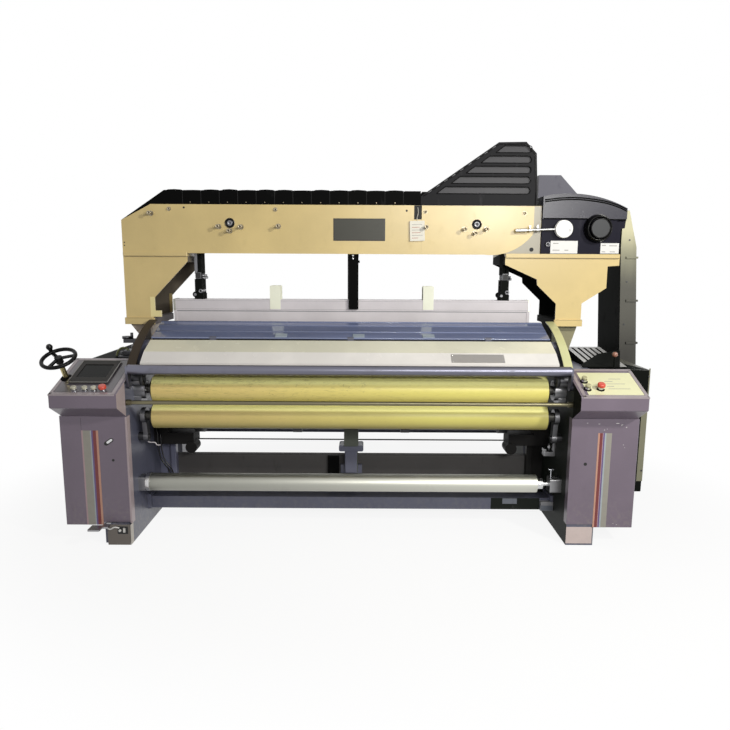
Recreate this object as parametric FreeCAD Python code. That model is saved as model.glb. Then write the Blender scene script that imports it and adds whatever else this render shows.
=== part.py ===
"""A shuttleless power loom with a dobby on an arch beam, built piece by piece.

Millimetres, +Z up, +Y from the weaver towards the back.  Sizes are laid out from the loom's centre plane
(x = 0), the front of the control boxes (y = 0) and the floor (z = 0).  At the end every piece is moved so
that the origin is the centre of the footprint, on the floor.
"""
import FreeCAD, Part
import math
import os
from FreeCAD import Vector

# ---------------------------------------------------------------- clearances and sheet
FIT = 0.05            # running fit, radial
GAP = 0.4             # clearance between pieces that don't touch
SHEET = 3.0           # folded covers
WALL = 6.0            # plate of the beam and the posts

# ---------------------------------------------------------------- cast side frames
FRAME_INNER = 1165.0  # inner faces, from the centre plane
FRAME_WIDE = 145.0    # flange width along X
FRAME_WEB = 25.0
FRAME_RIM = 26.0
FRAME_FRONT = 125.0
FRAME_BACK = 1380.0
FRAME_TOP = 930.0
FRAME_NOSE = 866.0    # height of the front edge, under the control box
FOOT_ARCH = 45.0      # height of the relief under the frame
FOOT_FRONT_END = 870.0
FOOT_BACK_START = 1130.0
RIB_Z = 500.0
RIB_THICK = 22.0
ANCHOR_HOLE = 11.0    # radius
ANCHOR_FRONT_Y = 235.0
ANCHOR_BACK_Y = 1290.0
ANCHOR_X = FRAME_INNER + 80

# ---------------------------------------------------------------- cross members
FRONT_BEAM = (400.0, 500.0, 90.0, 160.0)      # y, y, z, z
BEAM_PLATE = 8.0
END_FLANGE = 20.0
END_FLANGE_LIP = 22.0
MIDDLE_BEAM = (650.0, 690.0, 70.0, 336.0)
REAR_BEAM = (1120.0, 1200.0, 350.0, 450.0)

# ---------------------------------------------------------------- rocking shaft and sley
SHAFT_Y = 600.0
SHAFT_Z = 560.0
SHAFT_R = 50.0
SHAFT_END = FRAME_INNER - 25
SEAT_INNER = FRAME_INNER - 80         # inner side of the end bearings
SWORD_THICK = 26.0
SLEY_Z = 900.0
SLEY_HIGH = 50.0
SLEY_FRONT = 558.0
SLEY_BACK = 626.0
REED_TOP = 1060.0
REED_THICK = 8.0
REED_BAULK = 16.0
REED_GAPS = 100
REED_GROOVE = 12.0
SLEY_SWING = 12.0     # degrees forward

# ---------------------------------------------------------------- centre column and shaft brackets
COLUMN_HALF = 39.0
COLUMN_FRONT = 566.0
COLUMN_FOOT = 250.0
COLUMN_FLANGE_Z = 384.0
COLUMN_FLANGE_HIGH = 38.0
COLUMN_FLANGE_HALF = 73.0
BEARING_HALF = 42.0
BEARING_OVER = 22.0   # metal around the shaft
BRACKET_INNER = FRAME_INNER - 233
BRACKET_LOW = 430.0
BRACKET_HIGH = 500.0
BRACKET_PLATE = (103.0, 34.0, 14.0, 40.0, 70.0)  # width, post, plate and post depth, foot z
STOP_ROD_R = 4.0
STOP_ROD_Y = 665.0
STOP_ROD_Z = 428.0

# ---------------------------------------------------------------- rollers
ROLLER_HALF = FRAME_INNER - 95
TAKE_UP = (300.0, 814.0, 75.0)                # y, z, radius
PRESS_R = 70.0
PRESS_Y = 280.0
NIP = 0.5             # gap between the two rollers
JOURNAL_R = 25.0
HOUSING_R = 55.0
HOUSING_FACE = FRAME_INNER - 60
CLOTH = (280.0, 290.0, 49.0)
CLOTH_LEFT = FRAME_INNER - 42
CLOTH_RIGHT = FRAME_INNER - 133
CLOTH_HUB = (30.0, 34.0)                      # radius, length
CLOTH_SHAFT_R = 12.5
CLOTH_BLOCK_FACE = FRAME_INNER - 63
CLOTH_BLOCK_LEFT_FACE = FRAME_INNER - 37
CLOTH_BLOCK = (70.0, 80.0)                    # depth, height
CLOTH_LATCH = (4.0, 4.0, 48.0)                # radius, depth in the block, height over it
BACK_REST = (1180.0, 1005.0, 60.0)
GUIDE_BAR = (135.0, 772.0, 11.0)
FRONT_TUBE = (140.0, 945.0, 26.0)
TUBE_HALF = FRAME_INNER - 19
TUBE_ARM = 10.0
TUBE_BOSS = (155.0, 860.0, 18.0)
COVER_BOSS = (225.0, 880.0, 33.0, 53.0)       # y, z, radius, reach from the frame
ARM_FACE = FRAME_INNER - 55
ARM_THICK = 25.0
ARM_PIVOT = (300.0, 545.0)
ARM_PIN_R = 14.0
ARM_HUB = 42.0
PRESS_RELEASE = 5.0   # degrees
WARP_SEAT = (1285.0, 400.0, 25.0)             # y, z, bore radius
WARP_BOSS = (48.0, 35.0)                      # radius, length past the web

# ---------------------------------------------------------------- covers and control boxes
COVER_INNER = FRAME_INNER - 3.3
COVER_OUTER = FRAME_INNER + 350
COVER_FRONT = 120.0
COVER_LOW = 104.0
COVER_HIGH = 700.0
COVER_RETURN = 165.0
COVER_SIDE = 345.0
BOX_OUTER = COVER_OUTER - 11
BOX_LIP_LOW = 770.0
BOX_LIP_HIGH = 840.0
BOX_SLOPE = 20.9      # degrees
BOX_DEEP = (345.0, 262.0)                     # left, right
BOX_SIDE = 116.0      # depth of the inner wall, in front of the side frame
BOX_ROUND = 8.0

# ---------------------------------------------------------------- screen, buttons, handwheel
SCREEN = (FRAME_INNER + 178, 200.0, 108.0, 220.0, 9.0)  # x, width, place up the slope, height, thickness
SCREEN_GLASS = (154.0, 132.0, 47.0, 3.0)      # width, height, lower rim, recess
LEFT_BUTTONS = ((FRAME_INNER + 222, 42.0), (FRAME_INNER + 167, 42.0), (FRAME_INNER + 122, 42.0))
LEFT_STOP = (FRAME_INNER + 78, 44.0)
RIGHT_BUTTONS = ((FRAME_INNER + 51, 148.0), (FRAME_INNER + 48, 74.0))
RIGHT_STOP = (FRAME_INNER + 114, 74.0)
BUTTON_R = 14.0
BUTTON_HIGH = 10.0
STOP_R = 20.0
STOP_HIGH = 16.0
PLUNGER_R = 9.0
PLUNGER_LONG = 10.0   # below the collar
COLLAR_WALL = 5.0
COLLAR_HIGH = 8.0
COLLAR_HIGH_RIGHT = 16.0
BUTTON_TRAVEL = 4.0
WHEEL_FOOT = (-FRAME_INNER - 305, 155.0)      # x, place up the slope of the left box
WHEEL_AXIS = (-0.06, -0.45, 0.89)
WHEEL_SHAFT_R = 11.0
WHEEL_HEIGHT = 128.0
WHEEL_RIM = 82.0
WHEEL_TUBE = 10.0
WHEEL_HUB_R = 19.0
WHEEL_HUB_HIGH = 34.0
SPOKE_WIDE = 17.0
SPOKE_THICK = 9.0
KNOB_R = 16.0
KNOB_HIGH = 36.0
KNOB_PIN_R = 5.0
KNOB_ANGLE = 135.0    # where the spoke with the knob points

# ---------------------------------------------------------------- breast cover, shield, side guards
BREAST_HALF = FRAME_INNER - 65
BREAST_LINE = ((364.0, 1073.0), (250.0, 1024.0), (184.0, 973.5))
BREAST_LIP = 26.0
BREAST_BEAM = (330.0, 400.0, 935.0)           # y, y, z of the underside
HINGE = (384.0, 1083.0)                       # y, z of the shield's hinge rod
HINGE_ROD_R = 5.0
HINGE_LUGS = (340 - BREAST_HALF, 0.0, BREAST_HALF - 340)
HINGE_LUG_WIDE = 34.0
SHIELD_LONG = 200.0
SHIELD_TILT = 20.8    # degrees
SHIELD_THICK = 5.0
SHIELD_OPEN = 85.0
GUARD_LINE = ((168.0, 946.0), (360.0, 1092.0), (570.0, 1166.0))
GUARD_STRIP = 46.0
GUARD_THICK = 5.0

# ---------------------------------------------------------------- heald frames and lifting gear
HEALD_FIRST = 660.0   # y of the first frame's middle
HEALD_PITCH = 26.0
HEALD_COUNT = 4
HEALD_THICK = 12.0
HEALD_HALF = FRAME_INNER - 115
REED_HALF = HEALD_HALF - 90
SLEY_HALF = HEALD_HALF + 10
SWORD_X = (150 - HEALD_HALF, -320.0, 320.0, HEALD_HALF - 150)
RAIL_TOP = 1280.0
RAIL_STEP = 1215.0
RAIL_LOW = 1149.0
RAIL_GROOVE = 3.0
BOTTOM_RAIL = (700.0, 765.0)
STAY = 16.0
HEALD_BAR = 8.0
HEALD_WIRES = 30
HEALD_WIRE = 3.0
PAD = (451.0, 62.0, 1218.0, 1361.0, 8.0, 2.5) # x, width, z, z, thickness, reach before the rail
SHED = 40.0           # travel up and down
LINK_X = HEALD_HALF - 150
LINK_THICK = 10.0
LINK_HOOK = (52.0, 34.0)
LINK_EYE = 17.0
LINK_BODY = (44.0, 84.0)
LINK_SLEEVE = 8.0
LINK_BAR = (40.0, 150.0)
LEVER_X = LINK_X - 120
LEVER_Z = 1640.0
LEVER_THICK = 8.0
LEVER_HUB = 27.0
LEVER_UP = 110.0
LEVER_ARM = 30.0
LEVER_PIN_R = 7.0
LEVER_SHAFT_R = 15.0
SLOT_PLAY = 0.9

# ---------------------------------------------------------------- posts and arch beam
ARCH_FRONT = 594.0
ARCH_BACK = 950.0
POST_TOP = 1552.0
POST_FLANGE = 22.0
POST_FLANGE_LIP = 8.0
POST_LOW = 1137.0
POST_FOOT_FLANGE = 38.0
POST_LEFT = ((-146.0, 1530.0), (223.0, 1530.0), (223.0, 1500.0), (37.0, 1306.0), (13.0, 1280.0),
             (13.0, 1175.0), (-146.0, 1175.0))
POST_RIGHT = ((-283.0, 1530.0), (373.0, 1530.0), (373.0, 1488.0), (307.0, 1483.0), (307.0, 1359.0),
              (170.0, 1270.0), (170.0, 1175.0), (21.0, 1175.0), (21.0, 1267.0), (-93.0, 1375.0),
              (-96.0, 1407.0), (-283.0, 1490.0))
FOOT_NECK_Z = (1070.0, 985.0)                 # left, right
FOOT_NECK = 50.0
FOOT_FRONT = 640.0
FOOT_DEEP = 260.0
BEAM_LEFT = -FRAME_INNER - 145
BEAM_SLOPE = (25 - FRAME_INNER, 1730.0, 1819.0)  # x where the top starts, z at the end, z of the top
BEAM_RIGHT = FRAME_INNER - 87
FACE_LOW = 1546.0
FACE_THICK = 4.0
FACE_SPLIT = (354.0, 398.0, 1741.0)           # x, x, z of the notch's foot
FACE_RIGHT = BEAM_RIGHT - 43
FACE_CURVE = (BEAM_RIGHT - 318, 1664.0)       # x where the lower edge starts to rise, z at the end
TOP_COVER = (105 - FRAME_INNER, 1897.0, 390.0)  # x at the slope's end, z of the top, right end
TOP_PITCH = 104.0
TOP_NOTCH = 7.0
GUIDE_HALF = 27.0
GUIDE_THICK = 12.0
GUIDE_LOW = 1200.0
LOUVRE_COVER = ((390.0, 1819.0), (390.0, 1868.0), (418.0, 1888.0), (BEAM_RIGHT - 258, 2163.0),
                (BEAM_RIGHT - 105, 2166.0), (BEAM_RIGHT - 45, 2104.0), (BEAM_RIGHT - 32, 1905.0),
                (BEAM_RIGHT - 32, 1819.0))
LOUVRE_WALL = 7.0
LOUVRE_ROUND = 14.0
LOUVRE_FIRST = 1886.0
LOUVRE_PITCH = 56.0
LOUVRE_HIGH = 34.0
LOUVRE_COUNT = 5
LOUVRE_RIGHT = BEAM_RIGHT - 74
LOUVRE_MARGIN = 66.0  # from the slanted edge
LOUVRE_DEEP = 11.0

# ---------------------------------------------------------------- dobby housing
DOBBY_FRONT = 578.0
DOBBY_BACK = 950.0
DOBBY_LEFT = BEAM_RIGHT + 3
DOBBY_RIGHT = DOBBY_LEFT + 427
DOBBY_EAR = (DOBBY_RIGHT + 50, 1738.0, 1808.0)  # x, lower z, upper z
DOBBY_ARCH = (1872.0, DOBBY_LEFT + 199, 1886.0)  # z at the left, then x and z of the arch's crown
DOBBY_STEP = (1748.0, 8.0)                    # z and depth of the step across the front
BOSS = (DOBBY_LEFT + 315, 1695.0, 76.0, 60.0, 52.0, 16.0)
DOBBY_SCREW = (DOBBY_LEFT + 36, 1609.0, 13.0) # x, z, radius
DOBBY_BOX = ((DOBBY_LEFT + 27, 1800.0), (DOBBY_LEFT + 27, 2016.0), (DOBBY_LEFT + 157, 2016.0),
             (DOBBY_LEFT + 261, 1907.0), (DOBBY_LEFT + 261, 1800.0))
DOBBY_BOX_FRONT = 800.0
LEVEL = (DOBBY_LEFT + 119, 1691.0, 50.0)
LEVEL_ROD = (BEAM_RIGHT - 150, 1681.0, 6.0)
LEVEL_DISC = 8.0

# ---------------------------------------------------------------- drive casing, gear casing, tall guard
CASE_INNER = FRAME_INNER + FRAME_WIDE + 0.6
CASE_OUTER = COVER_OUTER + 140
CASE_FRONT = 352.0
CASE_BACK = 1300.0
CASE_LOW = 220.0
CASE_TOP = 920.0
RIBBED = (CASE_INNER + 11, CASE_INNER + 221, 372.0, 800.0, 935.0, 990.0)
RIB_SLOTS = 5
RIB_SLOT = 14.0
GEAR_CASE = (CASE_INNER + 119, 352.0, 1200.0, 250.0, 968.0)
TALL_X = CASE_OUTER + GAP
TALL_LINE = ((0.0, 870.0), (109.0, 870.0), (61.0, 1600.0), (29.0, 1720.0), (5.0, 1814.0), (-22.0, 1814.0),
             (-33.0, 1700.0), (-33.0, 1600.0), (0.0, 960.0))
TALL_DEPTH = (800.0, 1170.0)
TALL_LIPS = (1010.0, 1270.0, 1530.0)
LIP_OUT = 9.0
LIP_HIGH = 12.0
BALL_LEVER = (CASE_INNER + 135, 356.0, 1009.0, 15.0)  # x, y, z and radius of the ball
BALL_PIVOT_Z = 905.0
PEDAL = (-FRAME_INNER - 165, 112.0, 62.0)     # x, z of the pivot, width
PEDAL_STUB = (FRAME_INNER + 19, FRAME_INNER + 75)
PEDAL_PIVOT_Y = 96.0

parts = {}


# ================================================================ drawing tools
def block(x0, x1, y0, y1, z0, z1):
    """A square block between two opposite corners, in any order."""
    low = Vector(min(x0, x1), min(y0, y1), min(z0, z1))
    return Part.makeBox(abs(x1 - x0), abs(y1 - y0), abs(z1 - z0), low)


def bar(radius, start, end):
    """A round bar between two points."""
    way = Vector(*end) - Vector(*start)
    return Part.makeCylinder(radius, way.Length, Vector(*start), way)


def cross_bar(radius, x0, x1, y, z):
    """A round bar along X."""
    return bar(radius, (min(x0, x1), y, z), (max(x0, x1), y, z))


def ring(outer, inner, x0, x1, y, z):
    """A bush along X."""
    return cross_bar(outer, x0, x1, y, z).cut(cross_bar(inner, x0, x1, y, z))


def outline(points):
    """A flat face from corner points."""
    return Part.Face(Part.makePolygon(list(points) + [points[0]]))


def side_prism(points, x0, x1):
    """An outline in Y and Z, run along X."""
    low, high = min(x0, x1), max(x0, x1)
    return outline([Vector(low, y, z) for y, z in points]).extrude(Vector(high - low, 0, 0))


def front_prism(points, y0, y1):
    """An outline in X and Z, run along Y."""
    return outline([Vector(x, y0, z) for x, z in points]).extrude(Vector(0, y1 - y0, 0))


def plan_prism(points, z0, z1):
    """An outline in X and Y, run along Z."""
    return outline([Vector(x, y, z0) for x, y in points]).extrude(Vector(0, 0, z1 - z0))


def joined(shapes):
    """One solid from pieces that meet."""
    whole = shapes[0].fuse(list(shapes[1:]))
    return whole.removeSplitter()


def group(shapes):
    """Separate like solids under one name."""
    return Part.makeCompound(list(shapes))


def rounded(shape, radius, way, keep=None):
    """Round the straight edges that run along one axis."""
    picked = []
    for edge in shape.Edges:
        ends = edge.Vertexes
        if len(ends) != 2 or edge.Curve.TypeId != "Part::GeomLine":
            continue
        run = ends[1].Point - ends[0].Point
        if abs(run.normalize().dot(Vector(*way))) > 0.999 and (keep is None or keep(edge.CenterOfMass)):
            picked.append(edge)
    return shape.makeFillet(radius, picked)


def shell_prism(points, start, end, wall, prism):
    """A closed box of thin plate from an outline."""
    outer = prism(points, start, end)
    face = outer.Faces[0]
    for candidate in outer.Faces:
        if len(candidate.Edges) == len(points) and candidate.Area > face.Area - 1e-6:
            face = candidate
    middle = face.makeOffset2D(-wall, 2)
    normal = face.normalAt(0, 0)
    depth = abs(end - start) - 2 * wall
    inner = middle.extrude(normal * -depth)
    inner.translate(normal * -wall)
    return outer.cut(inner)


def mirrored(shape):
    """The same shape on the other side of the centre plane."""
    return shape.mirror(Vector(0, 0, 0), Vector(1, 0, 0))


# ================================================================ side frames
def frame_outline():
    rise = (FRAME_TOP - FRAME_NOSE) / math.tan(math.radians(BOX_SLOPE))
    seat_y, seat_z = WARP_SEAT[0], WARP_SEAT[1]
    return [(FRAME_FRONT, 0), (FRAME_FRONT, FRAME_NOSE), (FRAME_FRONT + rise, FRAME_TOP),
            (BACK_REST[0] + 55, FRAME_TOP), (BACK_REST[0] + 55, seat_z + 150), (seat_y + 55, seat_z + 85),
            (seat_y + 55, seat_z - 90), (FRAME_BACK, 120), (FRAME_BACK, 0), (FOOT_BACK_START, 0),
            (FOOT_BACK_START - 50, FOOT_ARCH), (FOOT_FRONT_END + 50, FOOT_ARCH), (FOOT_FRONT_END, 0)]


def frame_pocket():
    """The hollow on the outer side of the casting, inside its rim."""
    body = side_prism(frame_outline(), FRAME_INNER, FRAME_INNER + FRAME_WIDE)
    face = [f for f in body.Faces if abs(f.CenterOfMass.x - FRAME_INNER) < 0.01][0]
    inner = face.makeOffset2D(-FRAME_RIM, 2)
    deep = inner.extrude(Vector(FRAME_WIDE, 0, 0))
    deep.translate(Vector(FRAME_WEB, 0, 0))
    return rounded(deep, 14.0, (1, 0, 0))


def window(y0, y1, z0, z1, radius):
    """A rounded hole through the web."""
    hole = block(FRAME_INNER - 5, FRAME_INNER + FRAME_WEB + 5, y0, y1, z0, z1)
    return rounded(hole, radius, (1, 0, 0))


def side_frame():
    """The right casting: a web with a rim, ribs, cored windows, bosses and a long foot."""
    web_out = FRAME_INNER + FRAME_WEB
    body = side_prism(frame_outline(), FRAME_INNER, FRAME_INNER + FRAME_WIDE).cut(frame_pocket())
    rib_out = web_out + 60
    ribs = [block(web_out - 1, rib_out, FRAME_FRONT + 5, WARP_SEAT[0], RIB_Z, RIB_Z + RIB_THICK),
            block(web_out - 1, rib_out, 740, 740 + RIB_THICK, FOOT_ARCH, FRAME_TOP - 5)]
    bosses = [cross_bar(WARP_BOSS[0], web_out - 1, web_out + WARP_BOSS[1], WARP_SEAT[0], WARP_SEAT[1]),
              cross_bar(62, web_out - 1, web_out + 30, TAKE_UP[0], TAKE_UP[1]),
              cross_bar(40, web_out - 1, web_out + 30, CLOTH[0], CLOTH[1])]
    rest_y, rest_z = BACK_REST[0], BACK_REST[1]
    horn = side_prism([(rest_y - 90, FRAME_TOP - 5), (rest_y - 38, rest_z + 38), (rest_y + 38, rest_z + 38),
                       (rest_y + 55, FRAME_TOP - 5)], FRAME_INNER, web_out + 12)
    horn = rounded(horn, 20.0, (1, 0, 0), lambda c: c.z > rest_z)
    body = joined([body, horn] + ribs + bosses)
    cuts = [window(800, 1090, 560, 860, 60), window(800, 1090, 130, 440, 60),
            cross_bar(WARP_SEAT[2], FRAME_INNER - 5, rib_out + 50, WARP_SEAT[0], WARP_SEAT[1]),
            cross_bar(JOURNAL_R + FIT, FRAME_INNER - 5, web_out + 40, rest_y, rest_z)]
    for y in (ANCHOR_FRONT_Y, ANCHOR_BACK_Y):
        cuts.append(bar(ANCHOR_HOLE, (ANCHOR_X, y, -5), (ANCHOR_X, y, FRAME_RIM + 40)))
    return body.cut(cuts)


# ================================================================ cross members
def box_beam(y0, y1, z0, z1):
    """A square tube across the loom with a bolted flange at each end."""
    tube = block(-FRAME_INNER, FRAME_INNER, y0, y1, z0, z1)
    inside = block(-FRAME_INNER - 1, FRAME_INNER + 1, y0 + BEAM_PLATE, y1 - BEAM_PLATE, z0 + BEAM_PLATE,
                   z1 - BEAM_PLATE)
    shapes = [tube.cut(inside)]
    for side in (-1, 1):
        plate = block(side * FRAME_INNER, side * (FRAME_INNER - END_FLANGE), y0 - END_FLANGE_LIP,
                      y1 + END_FLANGE_LIP, z0, z1 + END_FLANGE_LIP)
        shapes.append(rounded(plate, 10.0, (1, 0, 0)))
    return joined(shapes)


def middle_beam():
    """A folded channel, open to the back, with stiffening ribs."""
    y0, y1, z0, z1 = MIDDLE_BEAM
    body = block(-FRAME_INNER, FRAME_INNER, y0, y1, z0, z1)
    body = rounded(body, 12.0, (1, 0, 0), lambda c: c.y < y0 + 1)
    body = body.cut(block(-FRAME_INNER + 10, FRAME_INNER - 10, y0 + 10, y1 + 1, z0 + 10, z1 - 10))
    ribs = [block(x - 5, x + 5, y0 + 9, y1, z0 + 9, z1 - 9) for x in (-780, -390, 0, 390, 780)]
    return joined([body] + ribs)


def shaft_seat(x0, x1, low):
    """A split bearing around the rocking shaft."""
    reach = SHAFT_R + BEARING_OVER
    seat = block(x0, x1, SHAFT_Y - reach + 12, SHAFT_Y + reach - 12, low, SHAFT_Z)
    seat = seat.fuse(cross_bar(reach, x0, x1, SHAFT_Y, SHAFT_Z))
    ears = block(x0, x1, SHAFT_Y - reach - 14, SHAFT_Y + reach + 14, SHAFT_Z - 9, SHAFT_Z + 9)
    return seat.fuse(ears).cut(cross_bar(SHAFT_R + FIT, x0 - 5, x1 + 5, SHAFT_Y, SHAFT_Z))


def centre_column():
    """The column on the middle beam that carries the rocking shaft's middle bearing."""
    back = MIDDLE_BEAM[0]
    top = COLUMN_FLANGE_Z + COLUMN_FLANGE_HIGH
    post = block(-COLUMN_HALF, COLUMN_HALF, COLUMN_FRONT, back, COLUMN_FOOT, COLUMN_FLANGE_Z + 5)
    post = rounded(post, 9.0, (0, 0, 1), lambda c: c.y < back - 1)
    foot = block(-COLUMN_HALF - 26, COLUMN_HALF + 26, back - 22, back, COLUMN_FOOT - 24, COLUMN_FOOT + 30)
    flange = block(-COLUMN_FLANGE_HALF, COLUMN_FLANGE_HALF, COLUMN_FRONT - 8, back, COLUMN_FLANGE_Z, top)
    flange = rounded(flange, 10.0, (0, 1, 0))
    seat = shaft_seat(-BEARING_HALF, BEARING_HALF, top - 1)
    return joined([post, foot, flange, seat])


def shaft_brackets():
    """The rocking shaft's end bearings on the side frames, with the thin stop rod between them."""
    pieces = []
    for side in (-1, 1):
        reach = SHAFT_R + BEARING_OVER
        ends = sorted((side * SEAT_INNER, side * FRAME_INNER))
        seat = shaft_seat(ends[0], ends[1], BRACKET_LOW)
        arm = block(side * BRACKET_INNER, side * FRAME_INNER, SHAFT_Y - reach + 12, STOP_ROD_Y + 12,
                    BRACKET_LOW, BRACKET_HIGH - 3)
        lobe = bar(34, (side * (BRACKET_INNER + 14), SHAFT_Y - reach, BRACKET_LOW - 18),
                   (side * (BRACKET_INNER + 14), SHAFT_Y + 20, BRACKET_LOW - 18))
        wide, post_wide, plate_deep, post_deep, foot = BRACKET_PLATE
        back = MIDDLE_BEAM[0]
        near = side * (FRAME_INNER - wide)
        plate = block(near, side * FRAME_INNER, back - plate_deep, back, foot, BRACKET_LOW + 5)
        upright = block(near, near + side * post_wide, back - post_deep, back, foot, BRACKET_LOW + 5)
        upright = rounded(upright, 6.0, (0, 0, 1), lambda c: c.y < back - post_deep + 1)
        pieces += [seat, arm, lobe, plate, upright]
    lift = BRACKET_LOW - 3
    rod_z = max(STOP_ROD_Z, lift)
    pieces.append(cross_bar(STOP_ROD_R, -BRACKET_INNER - 5, BRACKET_INNER + 5, STOP_ROD_Y, rod_z))
    return joined(pieces)


# ================================================================ sley and reed
def sley():
    """Rocking shaft, four tapered swords and the sley beam, one weldment."""
    shapes = [cross_bar(SHAFT_R, -SHAFT_END, SHAFT_END, SHAFT_Y, SHAFT_Z)]
    for x in SWORD_X:
        clamp = cross_bar(SHAFT_R + 18, x - SWORD_THICK, x + SWORD_THICK, SHAFT_Y, SHAFT_Z)
        blade = side_prism([(SHAFT_Y - 44, SHAFT_Z + 20), (SHAFT_Y + 44, SHAFT_Z + 20),
                            (SLEY_BACK, SLEY_Z + 5), (SLEY_FRONT, SLEY_Z + 5)],
                           x - SWORD_THICK / 2, x + SWORD_THICK / 2)
        hole = cross_bar(17, x - SWORD_THICK, x + SWORD_THICK, (SLEY_FRONT + SLEY_BACK) / 2, SLEY_Z - 130)
        shapes += [clamp, blade.cut(hole)]
    beam = side_prism([(SLEY_FRONT, SLEY_Z), (SLEY_FRONT, SLEY_Z + 38), (SLEY_FRONT + 12, SLEY_Z + SLEY_HIGH),
                       (SLEY_BACK, SLEY_Z + SLEY_HIGH), (SLEY_BACK, SLEY_Z)], -SLEY_HALF, SLEY_HALF)
    whole = joined(shapes + [beam])
    return whole.cut(reed_foot())


def reed_foot():
    """The groove in the sley beam that the reed stands in."""
    middle = (SLEY_FRONT + SLEY_BACK) / 2
    return block(-REED_HALF - GAP, REED_HALF + GAP, middle - REED_THICK / 2, middle + REED_THICK / 2,
                 SLEY_Z + SLEY_HIGH - REED_GROOVE, SLEY_Z + SLEY_HIGH + 1)


def reed():
    """The comb between its two baulks, with its dents as ridges in one wall."""
    middle = (SLEY_FRONT + SLEY_BACK) / 2
    low = SLEY_Z + SLEY_HIGH - REED_GROOVE
    plate = block(-REED_HALF, REED_HALF, middle - REED_THICK / 2, middle + REED_THICK / 2, low, REED_TOP)
    pitch = 2 * (REED_HALF - 20) / REED_GAPS
    gaps = []
    for count in range(REED_GAPS):
        x = -REED_HALF + 20 + pitch * (count + 0.5)
        gaps.append(block(x - pitch * 0.32, x + pitch * 0.32, middle - REED_THICK, middle + REED_THICK,
                          low + REED_GROOVE + REED_BAULK, REED_TOP - REED_BAULK))
    return plate.cut(Part.makeCompound(gaps))


# ================================================================ rollers and their bearings
def press_z():
    """Height of the press roller, from its gap to the take-up roller."""
    reach = TAKE_UP[2] + PRESS_R + NIP
    return TAKE_UP[1] - math.sqrt(reach ** 2 - (TAKE_UP[0] - PRESS_Y) ** 2)


def covered_roller(radius, y, z, journal_end):
    """A roller with bevelled end rings and journals."""
    body = cross_bar(radius, -ROLLER_HALF, ROLLER_HALF, y, z)
    body = body.makeChamfer(5.0, [e for e in body.Edges if e.Curve.TypeId == "Part::GeomCircle"])
    neck = cross_bar(radius * 0.62, -ROLLER_HALF - 12, ROLLER_HALF + 12, y, z)
    return joined([body, neck, cross_bar(JOURNAL_R, -journal_end, journal_end, y, z)])


def roller_bearings():
    """Flanged housings, arm pins, cover bosses and the cloth roller's blocks, on both side frames."""
    solids = []
    for side in (-1, 1):
        out = side * FRAME_INNER
        housing = ring(HOUSING_R, JOURNAL_R + FIT, side * HOUSING_FACE, out, TAKE_UP[0], TAKE_UP[1])
        pad = block(side * (HOUSING_FACE + 22), out, TAKE_UP[0] - 46, TAKE_UP[0] + 46, TAKE_UP[1] - 76,
                    TAKE_UP[1] - 30)
        bore = cross_bar(JOURNAL_R + FIT, side * (HOUSING_FACE - 5), out + side * 5, TAKE_UP[0], TAKE_UP[1])
        solids.append(joined([housing, rounded(pad, 10.0, (1, 0, 0))]).cut(bore))
        boss_y, boss_z, boss_r, boss_reach = COVER_BOSS
        solids.append(cross_bar(boss_r, out - side * boss_reach, out, boss_y, boss_z))
        y, z = ARM_PIVOT
        pin = cross_bar(ARM_PIN_R, side * (ARM_FACE - 6), out, y, z)
        collar = cross_bar(24, side * (ARM_FACE + ARM_THICK + GAP), out, y, z)
        solids.append(joined([pin, collar]))
    y, z = CLOTH[0], CLOTH[1]
    deep, high = CLOTH_BLOCK
    for side, face in ((-1, CLOTH_BLOCK_LEFT_FACE), (1, CLOTH_BLOCK_FACE)):
        shape = block(side * face, side * FRAME_INNER, y - deep / 2, y + deep / 2, z - high * 0.55,
                      z + high * 0.45)
        shape = rounded(shape, 9.0, (1, 0, 0))
        if side > 0:
            shape = shape.cut([latch_hole(), block(face + 24, face + 48, y - 8, y + 8, z + 22, z + high)])
        bore = cross_bar(CLOTH_SHAFT_R + FIT, side * (face - 5), side * (FRAME_INNER - 4), y, z)
        solids.append(shape.cut(bore))
    return group(solids)


def latch_place():
    """The point on top of the cloth roller's block where the latch stands."""
    return CLOTH_BLOCK_FACE + 12, CLOTH[0], CLOTH[1] + CLOTH_BLOCK[1] * 0.45


def latch_hole():
    x, y, top = latch_place()
    radius, depth, high = CLOTH_LATCH
    return bar(radius + FIT, (x, y, top - depth - 1), (x, y, top + high))


def cloth_latch():
    """The small T key on top of the cloth roller's block."""
    x, y, top = latch_place()
    radius, depth, high = CLOTH_LATCH
    stem = bar(radius, (x, y, top - depth), (x, y, top + high))
    handle = bar(radius, (x - 14, y, top + high - 3), (x + 14, y, top + high - 3))
    return joined([stem, handle])


def press_arms():
    """The two arms that hold the press roller, each with a hub, a waist and a pivot eye."""
    arms = []
    y1, z1 = ARM_PIVOT
    for side in (-1, 1):
        x0, x1 = side * ARM_FACE, side * (ARM_FACE + ARM_THICK)
        hub = cross_bar(ARM_HUB, x0, x1, PRESS_Y, press_z())
        eye = cross_bar(ARM_HUB * 0.66, x0, x1, y1, z1)
        waist = side_prism([(PRESS_Y - 24, press_z()), (PRESS_Y + 26, press_z()), (y1 + 20, z1),
                            (y1 - 20, z1)], x0, x1)
        arm = joined([hub, eye, waist])
        arm = arm.cut([cross_bar(JOURNAL_R + FIT, x0 - side * 5, x1 + side * 5, PRESS_Y, press_z()),
                       cross_bar(ARM_PIN_R + FIT, x0 - side * 5, x1 + side * 5, y1, z1)])
        arms.append(arm)
    return group(arms)


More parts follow.
